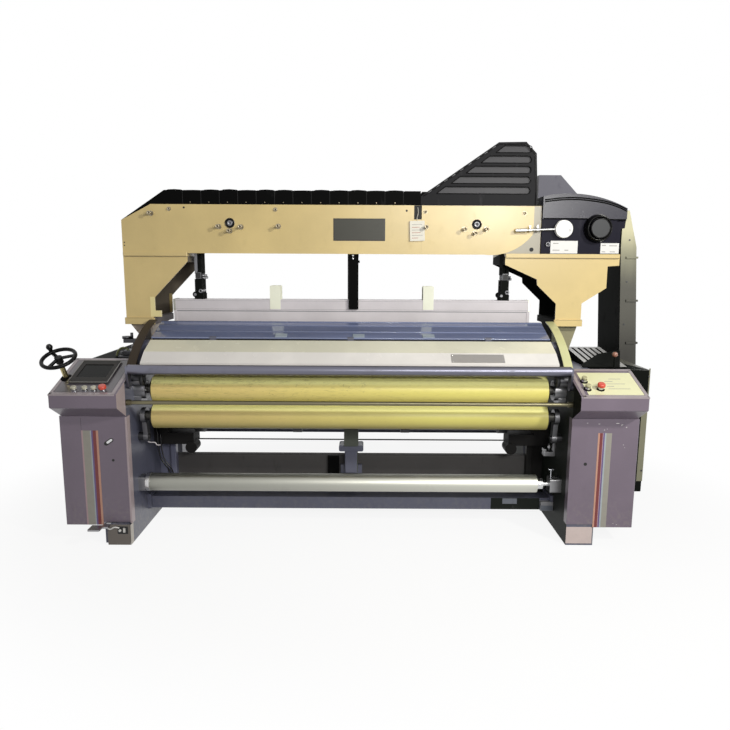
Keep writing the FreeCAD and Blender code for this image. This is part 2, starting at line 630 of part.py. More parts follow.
def cloth_roller():
    """The take-off tube for the cloth, with its end ring, hub and shaft."""
    y, z, radius = CLOTH
    tube = cross_bar(radius, -CLOTH_LEFT, CLOTH_RIGHT, y, z)
    end_ring = cross_bar(radius + 3, -CLOTH_LEFT, -CLOTH_LEFT + 20, y, z)
    hub = cross_bar(CLOTH_HUB[0], CLOTH_RIGHT - 1, CLOTH_RIGHT + CLOTH_HUB[1], y, z)
    shaft = cross_bar(CLOTH_SHAFT_R, -FRAME_INNER + 6, FRAME_INNER - 6, y, z)
    key = bar(4, (CLOTH_RIGHT + 17, y - CLOTH_HUB[0] - 3, z), (CLOTH_RIGHT + 17, y + CLOTH_HUB[0] + 3, z))
    return joined([tube, end_ring, hub, shaft, key])


def front_tube():
    """The hand rail along the front, on an arm at each end."""
    y, z, radius = FRONT_TUBE
    shapes = [cross_bar(radius, -TUBE_HALF, TUBE_HALF, y, z)]
    boss_y, boss_z, boss_r = TUBE_BOSS
    for side in (-1, 1):
        x0, x1 = side * (TUBE_HALF - 1), side * (TUBE_HALF + TUBE_ARM)
        arm = side_prism([(y - 22, z - 18), (y - 22, z + 22), (y + 20, z + 18), (boss_y + 20, boss_z + 6),
                          (boss_y, boss_z - 20), (boss_y - 18, boss_z)], x0, x1)
        shapes += [arm, cross_bar(boss_r, x0, side * FRAME_INNER, boss_y, boss_z)]
    return joined(shapes)


def guide_bar():
    y, z, radius = GUIDE_BAR
    shapes = [cross_bar(radius, -FRAME_INNER, FRAME_INNER, y, z)]
    for side in (-1, 1):
        shapes.append(cross_bar(radius + 5, side * (FRAME_INNER - 26), side * FRAME_INNER, y, z))
    return joined(shapes)


# ================================================================ covers and control boxes
def front_cover():
    """The right front cover: folded sheet, open at the back and at the bottom."""
    front = COVER_FRONT
    shapes = [block(COVER_INNER, COVER_OUTER, front, front + SHEET, COVER_LOW, COVER_HIGH),
              block(COVER_OUTER - SHEET, COVER_OUTER, front, COVER_SIDE, COVER_LOW, COVER_HIGH),
              block(COVER_INNER, COVER_INNER + SHEET, front, COVER_RETURN, COVER_LOW + 16, COVER_HIGH),
              block(FRAME_INNER + FRAME_WIDE + GAP, COVER_OUTER, front, COVER_SIDE, COVER_HIGH - SHEET,
                    COVER_HIGH)]
    body = joined(shapes)
    body = rounded(body, 6.0, (0, 0, 1), lambda c: c.y < front + 0.1 and c.x > COVER_OUTER - 1)
    notch = block(COVER_INNER - 1, FRAME_INNER + FRAME_WIDE, front - 1, front + SHEET + 1, COVER_LOW - 1,
                  COVER_LOW + 16)
    return body.cut(notch)


def box_top(y):
    """Height of the control box's sloping top."""
    return BOX_LIP_HIGH + y * math.tan(math.radians(BOX_SLOPE))


def control_box(deep):
    """The right control box: a folded hood around the top of the side frame."""
    outer = [(0, BOX_LIP_LOW), (0, BOX_LIP_HIGH), (deep, box_top(deep)), (deep, COVER_HIGH + GAP),
             (COVER_FRONT, COVER_HIGH + GAP)]
    body = side_prism(outer, COVER_INNER, BOX_OUTER)
    body = rounded(body, BOX_ROUND, (1, 0, 0), lambda c: c.y < 1)
    body = rounded(body, BOX_ROUND, (0, 0, 1), lambda c: c.y < 1 and c.x > BOX_OUTER - 1)
    rise = SHEET / math.cos(math.radians(BOX_SLOPE))
    tan_under = (BOX_LIP_LOW - COVER_HIGH - GAP) / COVER_FRONT
    inner = [(SHEET, BOX_LIP_LOW + 1.5), (SHEET, box_top(SHEET) - rise), (deep + 1, box_top(deep + 1) - rise),
             (deep + 1, COVER_HIGH - 1), (COVER_FRONT + SHEET, COVER_HIGH - 1),
             (COVER_FRONT + SHEET, BOX_LIP_LOW + 1.5 - tan_under * COVER_FRONT)]
    hollow = side_prism(inner, COVER_INNER + SHEET, BOX_OUTER - SHEET)
    past_frame = block(COVER_INNER - 1, FRAME_INNER + FRAME_WIDE + GAP, BOX_SIDE, deep + 1, COVER_HIGH - 1,
                       box_top(BOX_SIDE) - rise - 8)
    side_wall = block(COVER_INNER - 1, COVER_INNER + SHEET + 1, BOX_SIDE, deep + 1, COVER_HIGH - 1,
                      box_top(deep))
    trim = side_prism([(BOX_SIDE - 1, COVER_HIGH - 1), (BOX_SIDE - 1, box_top(BOX_SIDE - 1) - rise),
                       (deep + 2, box_top(deep + 2) - rise), (deep + 2, COVER_HIGH - 1)], COVER_INNER - 2,
                      COVER_INNER + SHEET + 2)
    beside_guard = block(COVER_INNER - 1, FRAME_INNER + GUARD_THICK + GAP, BOX_SIDE + 40, deep + 5,
                         COVER_HIGH, box_top(deep) + 5)
    return body.cut([hollow, past_frame, side_wall.common(trim), beside_guard])


def on_panel(shape):
    """Move a shape from the sloping top's own axes (x, up the slope, outwards) to the loom's."""
    turned = shape.copy()
    turned.rotate(Vector(0, 0, 0), Vector(1, 0, 0), BOX_SLOPE)
    turned.translate(Vector(0, 0, BOX_LIP_HIGH))
    return turned


def panel_normal():
    slope = math.radians(BOX_SLOPE)
    return Vector(0, -math.sin(slope), math.cos(slope))


def button(x, up, radius, high, collar, dome):
    """A cap on its plunger, above a collar."""
    base = collar + BUTTON_TRAVEL + 1
    cap = bar(radius, (x, up, base), (x, up, base + high))
    top = [e for e in cap.Edges if e.Curve.TypeId == "Part::GeomCircle" and e.CenterOfMass.z > base + 1]
    cap = cap.makeFillet(dome, top)
    plunger = bar(PLUNGER_R, (x, up, -PLUNGER_LONG), (x, up, base + 1))
    return on_panel(joined([cap, plunger]))


def collar_ring(x, up, high):
    outer = bar(PLUNGER_R + COLLAR_WALL, (x, up, 0), (x, up, high))
    return on_panel(outer.cut(bar(PLUNGER_R + GAP, (x, up, -1), (x, up, high + 1))))


def plunger_hole(x, up):
    return on_panel(bar(PLUNGER_R + GAP, (x, up, -12), (x, up, 12)))


def operator_screen():
    """The screen unit: a bezel with a sunk glass."""
    x, wide, up, high, thick = SCREEN
    glass_wide, glass_high, rim, sunk = SCREEN_GLASS
    body = block(-x - wide / 2, -x + wide / 2, up, up + high, GAP, thick + GAP)
    body = rounded(body, 6.0, (0, 0, 1))
    glass = block(-x - glass_wide / 2, -x + glass_wide / 2, up + rim, up + rim + glass_high,
                  thick + GAP - sunk, thick + GAP + 5)
    return on_panel(body.cut(glass))


# ================================================================ handwheel
def wheel_frame():
    """Foot point and axis of the handwheel on the left control box."""
    axis = Vector(*WHEEL_AXIS).normalize()
    slope = math.radians(BOX_SLOPE)
    x, up = WHEEL_FOOT
    foot = Vector(x, up * math.cos(slope), BOX_LIP_HIGH + up * math.sin(slope))
    return foot, axis


def on_wheel(shape):
    """Move a shape from the wheel's own axes to the loom's."""
    foot, axis = wheel_frame()
    turn = FreeCAD.Rotation(Vector(0, 0, 1), axis)
    return shape.transformed(FreeCAD.Placement(foot, turn).toMatrix(), True)


def knob_place():
    angle = math.radians(KNOB_ANGLE)
    return WHEEL_RIM * math.cos(angle), WHEEL_RIM * math.sin(angle)


def handwheel():
    """Rim, three flat spokes and hub, with the knob's fixed pin."""
    rim = Part.makeTorus(WHEEL_RIM, WHEEL_TUBE, Vector(0, 0, WHEEL_HEIGHT))
    hub = bar(WHEEL_HUB_R, (0, 0, WHEEL_HEIGHT - WHEEL_HUB_HIGH + 8), (0, 0, WHEEL_HEIGHT + 8))
    shapes = [hub, rim]
    for count in range(3):
        spoke = block(0, WHEEL_RIM, -SPOKE_WIDE / 2, SPOKE_WIDE / 2, WHEEL_HEIGHT - SPOKE_THICK / 2,
                      WHEEL_HEIGHT + SPOKE_THICK / 2)
        spoke.rotate(Vector(0, 0, 0), Vector(0, 0, 1), KNOB_ANGLE + 120 * count)
        shapes.append(spoke)
    x, y = knob_place()
    shapes.append(bar(KNOB_PIN_R, (x, y, WHEEL_HEIGHT), (x, y, WHEEL_HEIGHT + WHEEL_TUBE + KNOB_HIGH - 8)))
    whole = joined(shapes)
    return on_wheel(whole.cut(bar(WHEEL_SHAFT_R - 1, (0, 0, 0), (0, 0, WHEEL_HEIGHT))))


def handwheel_shaft():
    shaft = bar(WHEEL_SHAFT_R - 1, (0, 0, -20), (0, 0, WHEEL_HEIGHT))
    sleeve = bar(WHEEL_SHAFT_R + 2, (0, 0, 2), (0, 0, WHEEL_HEIGHT - WHEEL_HUB_HIGH + 8))
    return on_wheel(joined([shaft, sleeve]))


def handwheel_knob():
    x, y = knob_place()
    base = WHEEL_HEIGHT + WHEEL_TUBE + GAP
    bore, sunk = KNOB_PIN_R + FIT, KNOB_HIGH - 7
    profile = [(bore, 0), (KNOB_R * 0.6, 0), (KNOB_R * 0.62, 6), (KNOB_R, 20), (KNOB_R, 27),
               (KNOB_R * 0.7, KNOB_HIGH), (0, KNOB_HIGH), (0, sunk), (bore, sunk)]
    face = outline([Vector(x + r, y, base + z) for r, z in profile])
    return on_wheel(face.revolve(Vector(x, y, 0), Vector(0, 0, 1), 360))


# ================================================================ breast cover, shield, guards
def breast_under(y):
    """Underside of the breast cover's upper facet."""
    (y0, z0), (y1, z1) = BREAST_LINE[0], BREAST_LINE[1]
    slope = (z0 - z1) / (y0 - y1)
    return z0 - (y0 - y) * slope - SHEET * math.hypot(1, slope)


def breast_cover():
    """Two facets and a front lip, one folded sheet."""
    (y0, z0), (y1, z1), (y2, z2) = BREAST_LINE
    outer = [(y0, z0), (y1, z1), (y2, z2), (y2, z2 - BREAST_LIP)]
    inner = [(y2 + SHEET, z2 - BREAST_LIP), (y2 + SHEET, z2 - 1.6), (y1 + 1.4, z1 - SHEET - 0.4),
             (y0, breast_under(y0))]
    return side_prism(outer + inner, -BREAST_HALF, BREAST_HALF)


def breast_beam():
    """The bearer under the cover, with the shield's hinge lugs."""
    front, back, low = BREAST_BEAM
    top = breast_under(BREAST_LINE[0][0]) - GAP
    section = [(front, low), (front, breast_under(front) - GAP), (BREAST_LINE[0][0], top), (back, top),
               (back, low)]
    body = side_prism(section, -FRAME_INNER, FRAME_INNER)
    hollow = side_prism([(front + WALL, low + WALL), (front + WALL, breast_under(front) - 12),
                         (BREAST_LINE[0][0], top - WALL), (back - WALL, top - WALL),
                         (back - WALL, low + WALL)], -FRAME_INNER + 12, FRAME_INNER - 12)
    body = body.cut(hollow)
    y, z = HINGE
    for x in HINGE_LUGS:
        x0, x1 = x - HINGE_LUG_WIDE / 2, x + HINGE_LUG_WIDE / 2
        lug = block(x0, x1, y - 10, y + 10, top - 1, z).fuse(cross_bar(10, x0, x1, y, z))
        body = body.fuse(lug.cut(cross_bar(HINGE_ROD_R + FIT, x0 - 1, x1 + 1, y, z)))
    return body.removeSplitter().cut(cross_bar(HINGE_ROD_R + FIT, -BREAST_HALF, BREAST_HALF, y, z))


def splash_shield():
    """The clear shield on its hinge rod, curved a little at its free edge."""
    y, z = HINGE
    plate = block(-BREAST_HALF, BREAST_HALF, 0, SHIELD_LONG, -SHIELD_THICK / 2, SHIELD_THICK / 2)
    for x in HINGE_LUGS:
        half = HINGE_LUG_WIDE / 2 + 1
        plate = plate.cut(block(x - half, x + half, -1, 14, -10, 10))
    plate.rotate(Vector(0, 0, 0), Vector(1, 0, 0), SHIELD_TILT)
    plate.translate(Vector(0, y, z))
    return joined([plate, cross_bar(HINGE_ROD_R, -BREAST_HALF, BREAST_HALF, y, z)])


def side_guard():
    """The right curved strip beside the breast cover, with the web that it stands on."""
    points = [Vector(FRAME_INNER, y, z) for y, z in GUARD_LINE]
    x0 = FRAME_INNER + GUARD_THICK - GUARD_STRIP
    arc = Part.Arc(*points)
    down = Vector(0, 2.2, -GUARD_THICK)
    under = Part.Arc(*[p + down for p in points])
    edges = [arc.toShape(), Part.makeLine(points[2], points[2] + down), under.toShape(),
             Part.makeLine(points[0] + down, points[0])]
    strip = Part.Face(Part.Wire(Part.__sortEdges__(edges))).extrude(Vector(GUARD_STRIP, 0, 0))
    strip.translate(Vector(x0 - FRAME_INNER, 0, 0))
    corner = Vector(FRAME_INNER, GUARD_LINE[2][0], FRAME_TOP + GAP)
    low = Vector(FRAME_INNER, GUARD_LINE[0][0] + 112, FRAME_TOP + GAP)
    web_edges = [under.toShape(), Part.makeLine(points[2] + down, corner), Part.makeLine(corner, low),
                 Part.makeLine(low, points[0] + down)]
    web = Part.Face(Part.Wire(Part.__sortEdges__(web_edges))).extrude(Vector(GUARD_THICK, 0, 0))
    return joined([strip, web])


# ================================================================ heald frames and lifting gear
def heald_y(index):
    return HEALD_FIRST + HEALD_PITCH * index


def heald_frame(index):
    """Top rail with its seam and groove, bottom rail, side stays, heald bars and healds."""
    y = heald_y(index)
    y0, y1 = y - HEALD_THICK / 2, y + HEALD_THICK / 2
    upper = block(-HEALD_HALF, HEALD_HALF, y0, y1, RAIL_STEP, RAIL_TOP)
    lower = block(-HEALD_HALF + 8, HEALD_HALF - 8, y0 + RAIL_GROOVE, y1 - 1, RAIL_LOW, RAIL_STEP)
    bottom = block(-HEALD_HALF, HEALD_HALF, y0, y1, BOTTOM_RAIL[0], BOTTOM_RAIL[1])
    shapes = [upper, lower, bottom]
    for side in (-1, 1):
        shapes.append(block(side * (HEALD_HALF - STAY), side * HEALD_HALF, y0, y1, BOTTOM_RAIL[1] - 1,
                            RAIL_STEP + 1))
    inner = HEALD_HALF - STAY + 1
    shapes.append(block(-inner, inner, y - 2, y + 2, RAIL_LOW - HEALD_BAR - 12, RAIL_LOW - 12))
    shapes.append(block(-inner, inner, y - 2, y + 2, BOTTOM_RAIL[1] + 12, BOTTOM_RAIL[1] + 12 + HEALD_BAR))
    pitch = 2 * REED_HALF / HEALD_WIRES
    for count in range(HEALD_WIRES):
        x = -REED_HALF + pitch * (count + 0.5)
        shapes.append(block(x - HEALD_WIRE / 2, x + HEALD_WIRE / 2, y - 1, y + 1, BOTTOM_RAIL[1] - 1,
                            RAIL_LOW + 1))
    pad_x, pad_wide, pad_low, pad_top, pad_thick, pad_reach = PAD
    for side in (-1, 1):
        pad = block(side * pad_x - pad_wide / 2, side * pad_x + pad_wide / 2, y0 - pad_reach,
                    y0 - pad_reach + pad_thick, pad_low, pad_top)
        shapes.append(rounded(pad, 6.0, (0, 1, 0)))
        shapes.append(lift_link(side * LINK_X, y))
    return joined(shapes)


def lift_link(x, y):
    """Hook, eye, clevis, sleeve and upper bars between a heald frame and its lever."""
    y0, y1 = y - LINK_THICK / 2, y + LINK_THICK / 2
    base = RAIL_TOP + LINK_HOOK[1]
    body_top = base + LINK_BODY[1]
    hook = block(x - LINK_HOOK[0] / 2, x + LINK_HOOK[0] / 2, y0, y1, RAIL_TOP - 1, base)
    eye = bar(LINK_EYE, (x - 20, y0, base - 6), (x - 20, y1, base - 6))
    body = block(x - LINK_BODY[0] / 2, x + LINK_BODY[0] / 2, y0, y1, base - 1, body_top)
    sleeve = block(x - LINK_SLEEVE * 1.6, x + LINK_SLEEVE * 1.6, y0, y1, body_top - 1, body_top + 40)
    bar_top = LEVER_Z + 12
    upper = block(x - LINK_BAR[0] / 2, x + LINK_BAR[0] / 2, y0, y1, body_top + 30, bar_top)
    slit = block(x - 3, x + 3, y0 - 1, y1 + 1, body_top + 44, LEVER_Z - 26)
    pin = bar(LEVER_PIN_R, (x, y0, LEVER_Z), (x, y1 + LEVER_THICK + 2, LEVER_Z))
    return joined([hook, eye, body, sleeve, upper.cut(slit), pin])


def lift_lever(side, index):
    """A bell crank on the lever shaft: one arm to the link, one up to the dobby's rods."""
    y0 = heald_y(index) + LINK_THICK / 2 + 1
    y1 = y0 + LEVER_THICK
    x = side * LEVER_X
    arm = side * (LINK_X - LEVER_X)
    hub = bar(LEVER_HUB, (x, y0, LEVER_Z), (x, y1, LEVER_Z))
    corners = [(x, LEVER_Z - 20), (x + arm, LEVER_Z - 15), (x + arm, LEVER_Z + 15), (x, LEVER_Z + 20)]
    reach = front_prism(corners if side > 0 else corners[::-1], y0, y1)
    tip = bar(LEVER_ARM / 2 + 2, (x + arm, y0, LEVER_Z), (x + arm, y1, LEVER_Z))
    upright = front_prism([(x - 18, LEVER_Z), (x + 18, LEVER_Z), (x + 12, LEVER_Z + LEVER_UP),
                           (x - 12, LEVER_Z + LEVER_UP)], y0, y1)
    top = bar(14, (x, y0, LEVER_Z + LEVER_UP), (x, y1, LEVER_Z + LEVER_UP))
    slot_r = LEVER_PIN_R + SLOT_PLAY
    slot = [bar(slot_r, (x + arm + shift, y0 - 1, LEVER_Z), (x + arm + shift, y1 + 1, LEVER_Z))
            for shift in (-7, 7)]
    slot.append(block(x + arm - 7, x + arm + 7, y0 - 1, y1 + 1, LEVER_Z - slot_r, LEVER_Z + slot_r))
    eye = bar(6, (x, y0 - 1, LEVER_Z + LEVER_UP), (x, y1 + 1, LEVER_Z + LEVER_UP))
    bore = bar(LEVER_SHAFT_R + FIT, (x, y0 - 1, LEVER_Z), (x, y1 + 1, LEVER_Z))
    end = block(x + arm * 1.02, x + arm * 1.17, y0, y1, LEVER_Z - 14, LEVER_Z + 14)
    return joined([hub, reach, tip, upright, top, end]).cut(slot + [eye, bore])


# ================================================================ posts and feet
def flange_plate(x0, x1, z0, z1):
    lip = POST_FLANGE_LIP
    plate = block(x0 - lip, x1 + lip, ARCH_FRONT - lip, ARCH_BACK + lip, z0, z1)
    return rounded(plate, 5.0, (0, 0, 1))


def post_line(points, side):
    """A post's outline, moved out to its side frame."""
    return [(x + side * FRAME_INNER, z) for x, z in points]


def post_neck(points):
    """The lowest points of a post's outline, from left to right."""
    low = min(z for x, z in points)
    return sorted(x for x, z in points if z < low + 1)


def post(points):
    """A closed box of plate with a flange at its top and its foot."""
    xs = [x for x, z in points]
    neck = post_neck(points)
    box = shell_prism(points, ARCH_FRONT, ARCH_BACK, WALL, front_prism)
    top = flange_plate(min(xs) + 8, max(xs) - 8, POST_TOP - POST_FLANGE, POST_TOP)
    foot = flange_plate(min(neck), max(neck), POST_LOW, POST_LOW + POST_FOOT_FLANGE)
    return joined([box, top, foot])


def post_foot(points, neck_z):
    """The tapered foot between a post and the side frame."""
    neck = post_neck(points)
    x0, x1 = neck[0] + 4, neck[-1] - 4
    middle = (x0 + x1) / 2
    y0, y1 = FOOT_FRONT, FOOT_FRONT + FOOT_DEEP
    half = FOOT_NECK / 2
    base_z = FRAME_TOP + 22
    shape = front_prism([(x0, POST_LOW), (x1, POST_LOW), (middle + half, neck_z), (middle + half, base_z),
                         (middle - half, base_z), (middle - half, neck_z)], y0, y1)
    base = block(middle - half - 16, middle + half + 16, y0 - 14, y1 + 14, FRAME_TOP, base_z)
    return joined([shape, rounded(base, 8.0, (0, 0, 1))])


# ================================================================ arch beam and its covers
def beam_line():
    slope_x, end_z, top_z = BEAM_SLOPE
    return [(BEAM_LEFT, POST_TOP), (BEAM_LEFT, end_z), (slope_x, top_z), (BEAM_RIGHT, top_z),
            (BEAM_RIGHT, POST_TOP)]


def arch_beam():
    """The long open box of plate with the lever shafts and the heald frames' middle guide."""
    outer = front_prism(beam_line(), ARCH_FRONT, ARCH_BACK)
    slope_x, end_z, top_z = BEAM_SLOPE
    inner = front_prism([(BEAM_LEFT + WALL, POST_TOP - 1), (BEAM_LEFT + WALL, end_z - 4),
                         (slope_x + 2, top_z + 30), (BEAM_RIGHT - WALL, top_z + 30),
                         (BEAM_RIGHT - WALL, POST_TOP - 1)], ARCH_FRONT + WALL, ARCH_BACK - WALL)
    body = outer.cut(inner)
    shapes = [body]
    for x in (BEAM_LEFT + 220, -330, 330, BEAM_RIGHT - 76):
        web = block(x - 4, x + 4, ARCH_FRONT + WALL - 1, ARCH_BACK - WALL + 1, top_z - 60, top_z - 4)
        shapes.append(web)
    for side in (-1, 1):
        shapes.append(bar(LEVER_SHAFT_R, (side * LEVER_X, ARCH_FRONT + 1, LEVER_Z),
                          (side * LEVER_X, ARCH_BACK - 1, LEVER_Z)))
    guide_y = heald_y(HEALD_COUNT - 1) + HEALD_THICK / 2 + 10
    shapes.append(block(-GUIDE_HALF, GUIDE_HALF, guide_y, guide_y + GUIDE_THICK, GUIDE_LOW, POST_TOP + 60))
    shapes.append(block(-GUIDE_HALF - 14, GUIDE_HALF + 14, guide_y, ARCH_BACK - WALL + 1, POST_TOP + 40,
                        POST_TOP + 60))
    return joined(shapes)


def face_plate(points):
    return front_prism(points, ARCH_FRONT - FACE_THICK, ARCH_FRONT)


def beam_face_left():
    slope_x, end_z, top_z = BEAM_SLOPE
    notch_x, split_x, notch_z = FACE_SPLIT
    step_x = POST_LEFT[1][0] - FRAME_INNER + 2
    return face_plate([(BEAM_LEFT, POST_TOP), (BEAM_LEFT, end_z), (slope_x, top_z), (notch_x, top_z),
                       (notch_x, notch_z), (split_x - GAP, notch_z), (split_x - GAP, FACE_LOW),
                       (step_x, FACE_LOW), (step_x, POST_TOP)])


def beam_face_right():
    """The right face plate; its lower edge curves up at the right end."""
    top_z = BEAM_SLOPE[2]
    start_x, end_z = FACE_CURVE
    y = ARCH_FRONT - FACE_THICK
    reach = FACE_RIGHT - start_x
    a, b = Vector(start_x, y, FACE_LOW), Vector(FACE_RIGHT, y, end_z)
    middle = Vector(start_x + reach * 0.62, y, FACE_LOW + (end_z - FACE_LOW) * 0.25)
    corners = [b, Vector(FACE_RIGHT, y, top_z), Vector(FACE_SPLIT[1], y, top_z),
               Vector(FACE_SPLIT[1], y, FACE_LOW), a]
    edges = [Part.Arc(a, middle, b).toShape()]
    edges += [Part.makeLine(corners[i], corners[i + 1]) for i in range(len(corners) - 1)]
    return Part.Face(Part.Wire(Part.__sortEdges__(edges))).extrude(Vector(0, FACE_THICK, 0))


def beam_top_cover():
    """The black ribbed hood along the beam, notched between its segments."""
    slope_x, end_z, top_z = BEAM_SLOPE
    start_x, high, right = TOP_COVER
    points = [(BEAM_LEFT, end_z + GAP), (start_x, high), (right, high), (right, top_z + GAP),
              (slope_x, top_z + GAP)]
    outer = front_prism(points, ARCH_FRONT - FACE_THICK, ARCH_BACK)
    inner = front_prism([(BEAM_LEFT + 60, end_z + 10), (slope_x + 90, top_z + 46), (start_x + 5, high - WALL),
                         (right - WALL, high - WALL), (right - WALL, top_z - 1), (slope_x + 15, top_z - 1)],
                        ARCH_FRONT + WALL, ARCH_BACK - WALL)
    count = int((right - start_x) / TOP_PITCH)
    notches = []
    for index in range(1, count + 1):
        x = start_x + TOP_PITCH * index
        notches.append(front_prism([(x - 7, high + 1), (x, high - TOP_NOTCH), (x + 7, high + 1)],
                                   ARCH_FRONT - FACE_THICK - 1, ARCH_BACK + 1))
    return outer.cut([inner] + notches)


def louvre_cover():
    """The tall black cover with five sunk louvres, slanted on the left and round on the right."""
    front = ARCH_FRONT - 8
    outer = front_prism(LOUVRE_COVER, front, ARCH_BACK)
    outer.translate(Vector(0, 0, GAP))
    (x0, z0), (x1, z1) = LOUVRE_COVER[2], LOUVRE_COVER[3]
    lean = (x1 - x0) / (z1 - z0)
    face = outline([Vector(x, front, z) for x, z in LOUVRE_COVER]).makeOffset2D(-LOUVRE_WALL, 2)
    inner = face.extrude(Vector(0, ARCH_BACK - WALL - front - 16, 0))
    inner.translate(Vector(0, 16, 0))
    well = block(LOUVRE_COVER[0][0] + LOUVRE_WALL, LOUVRE_COVER[-1][0] - LOUVRE_WALL, front + 16,
                 ARCH_BACK - WALL, LOUVRE_COVER[0][1] - 1, LOUVRE_COVER[0][1] + LOUVRE_WALL + 1)
    pockets = []
    for index in range(LOUVRE_COUNT):
        low = LOUVRE_FIRST + LOUVRE_PITCH * index
        high = low + LOUVRE_HIGH
        left_low = x0 + (low - z0) * lean + LOUVRE_MARGIN
        left_high = x0 + (high - z0) * lean + LOUVRE_MARGIN
        slot = front_prism([(left_low, low), (left_high, high), (LOUVRE_RIGHT, high), (LOUVRE_RIGHT, low)],
                           front - 1, front + LOUVRE_DEEP)
        pockets.append(rounded(slot, LOUVRE_ROUND, (0, 1, 0), lambda c: c.x > LOUVRE_RIGHT - 1))
    return outer.cut([inner, well] + pockets)


# ================================================================ dobby
def dobby_housing():
    """The moulded cover with an arched top, a stepped face and a round boss, and the body behind it."""
    crown_z, crown_x, crown_top = DOBBY_ARCH
    ear_x, ear_low, ear_high = DOBBY_EAR
    low = POST_TOP
    y = DOBBY_FRONT
    a, b = Vector(DOBBY_LEFT, y, crown_z), Vector(ear_x, y, ear_high)
    corners = [b, Vector(ear_x, y, ear_low), Vector(DOBBY_RIGHT, y, ear_low - 8), Vector(DOBBY_RIGHT, y, low),
               Vector(DOBBY_LEFT, y, low), a]
    edges = [Part.Arc(a, Vector(crown_x, y, crown_top), b).toShape()]
    edges += [Part.makeLine(corners[i], corners[i + 1]) for i in range(len(corners) - 1)]
    front = Part.Face(Part.Wire(Part.__sortEdges__(edges)))
    body = front.extrude(Vector(0, DOBBY_BACK - y, 0))
    step_z, step_deep = DOBBY_STEP
    lower = block(DOBBY_LEFT - 5, DOBBY_RIGHT + 60, y - 1, y + step_deep, low - 1, step_z)
    body = body.cut(lower)
    x, z, outer_r, ring_r, disc_r, out = BOSS
    face_y = y + step_deep
    boss = bar(outer_r, (x, face_y - out, z), (x, face_y + 20, z))
    groove = bar(ring_r, (x, face_y - out - 1, z), (x, face_y - out + 9, z))
    disc = bar(disc_r, (x, face_y - out - 2, z), (x, face_y + 5, z))
    body = body.fuse(boss).cut(groove).fuse(disc)
    screw_x, screw_z, screw_r = DOBBY_SCREW
    screw = bar(screw_r, (screw_x, face_y - 7, screw_z), (screw_x, face_y + 5, screw_z))
    rear = front_prism(DOBBY_BOX, DOBBY_BOX_FRONT, ARCH_BACK)
    pivot = bar(9, (LEVEL[0], DOBBY_FRONT - 20, LEVEL[1]), (LEVEL[0], face_y + 5, LEVEL[1]))
    return joined([body, screw, rear, pivot])


def level_lever():
    """The white disc and the long rod with its nuts, on a pin of the dobby."""
    x, z, radius = LEVEL
    end_x, end_z, rod_r = LEVEL_ROD
    y0 = DOBBY_FRONT - LEVEL_DISC - GAP
    disc = bar(radius, (x, y0, z), (x, y0 + LEVEL_DISC, z))
    rod_y = y0 - rod_r + 3
    rod = bar(rod_r, (x - 20, rod_y, z), (end_x, rod_y, end_z))
    fork = bar(rod_r * 1.9, (end_x, rod_y, end_z), (end_x + 62, rod_y, end_z + 2))
    shapes = [disc, rod, fork]
    for place in (74, 118):
        nut_x = end_x + place
        nut_z = end_z + (z - end_z) * place / (x - end_x)
        shapes.append(bar(rod_r * 2.0, (nut_x, rod_y, nut_z), (nut_x + 12, rod_y, nut_z + 0.4)))
        shapes.append(block(nut_x + 2, nut_x + 10, rod_y - 3, rod_y + 3, nut_z, nut_z + 26))
    hole = bar(9 + FIT, (x, y0 - 1, z), (x, y0 + LEVEL_DISC + 1, z))
    return joined(shapes).cut(hole)


# ================================================================ casings and tall guard
def open_casing(outer, y0, y1, z0, z1):
    """A casing on the right frame, open towards the frame."""
    body = rounded(block(CASE_INNER, outer, y0, y1, z0, z1), 10.0, (0, 0, 1), lambda c: c.x > outer - 1)
    return body.cut(block(CASE_INNER - 1, outer - WALL, y0 + WALL, y1 - WALL, z0 + WALL, z1 - WALL))


def drive_casing():
    """The casing outside the right frame, with its ribbed top and the slot of the ball lever."""
    body = open_casing(CASE_OUTER, CASE_FRONT, CASE_BACK, CASE_LOW, CASE_TOP)
    x0, x1, y0, y1, z0, z1 = RIBBED
    hood = side_prism([(y0, CASE_TOP - 1), (y0, z0), (y1, z1), (y1, CASE_TOP - 1)], x0, x1)
    pitch = (x1 - x0 - 30) / RIB_SLOTS
    slots = []
    for index in range(RIB_SLOTS):
        x = x0 + 15 + pitch * (index + 0.5)
        slot = side_prism([(y0 + 25, z0 - 8), (y0 + 25, z0 + 40), (y1 - 25, z1 + 30), (y1 - 25, z1 - 12)],
                          x - RIB_SLOT / 2, x + RIB_SLOT / 2)
        slots.append(slot)
    hood = hood.cut(slots)
    ball_x = BALL_LEVER[0]
    yoke = block(ball_x - 22, ball_x + 22, CASE_FRONT - 36, CASE_FRONT + 1, BALL_PIVOT_Z - 16,
                 BALL_PIVOT_Z + 12)
    yoke = yoke.cut(block(ball_x - 9, ball_x + 9, CASE_FRONT - 37, CASE_FRONT, BALL_PIVOT_Z - 17,
                          BALL_PIVOT_Z + 13))
    pin = cross_bar(5, ball_x - 20, ball_x + 20, CASE_FRONT - 18, BALL_PIVOT_Z)
    return joined([body, hood, yoke, pin])


def ball_lever():
    """The lever with a ball knob behind the right control box."""
    x, y, z, radius = BALL_LEVER
    y_pivot = CASE_FRONT - 18
    eye = cross_bar(11, x - 8, x + 8, y_pivot, BALL_PIVOT_Z)
    stem = bar(5, (x, y_pivot, BALL_PIVOT_Z + 2), (x, y_pivot, z))
    ball = Part.makeSphere(radius, Vector(x, y_pivot, z))
    return joined([eye, stem, ball]).cut(cross_bar(5 + FIT, x - 9, x + 9, y_pivot, BALL_PIVOT_Z))


def gear_casing():
    """The casing outside the left frame."""
    return mirrored(open_casing(*GEAR_CASE))


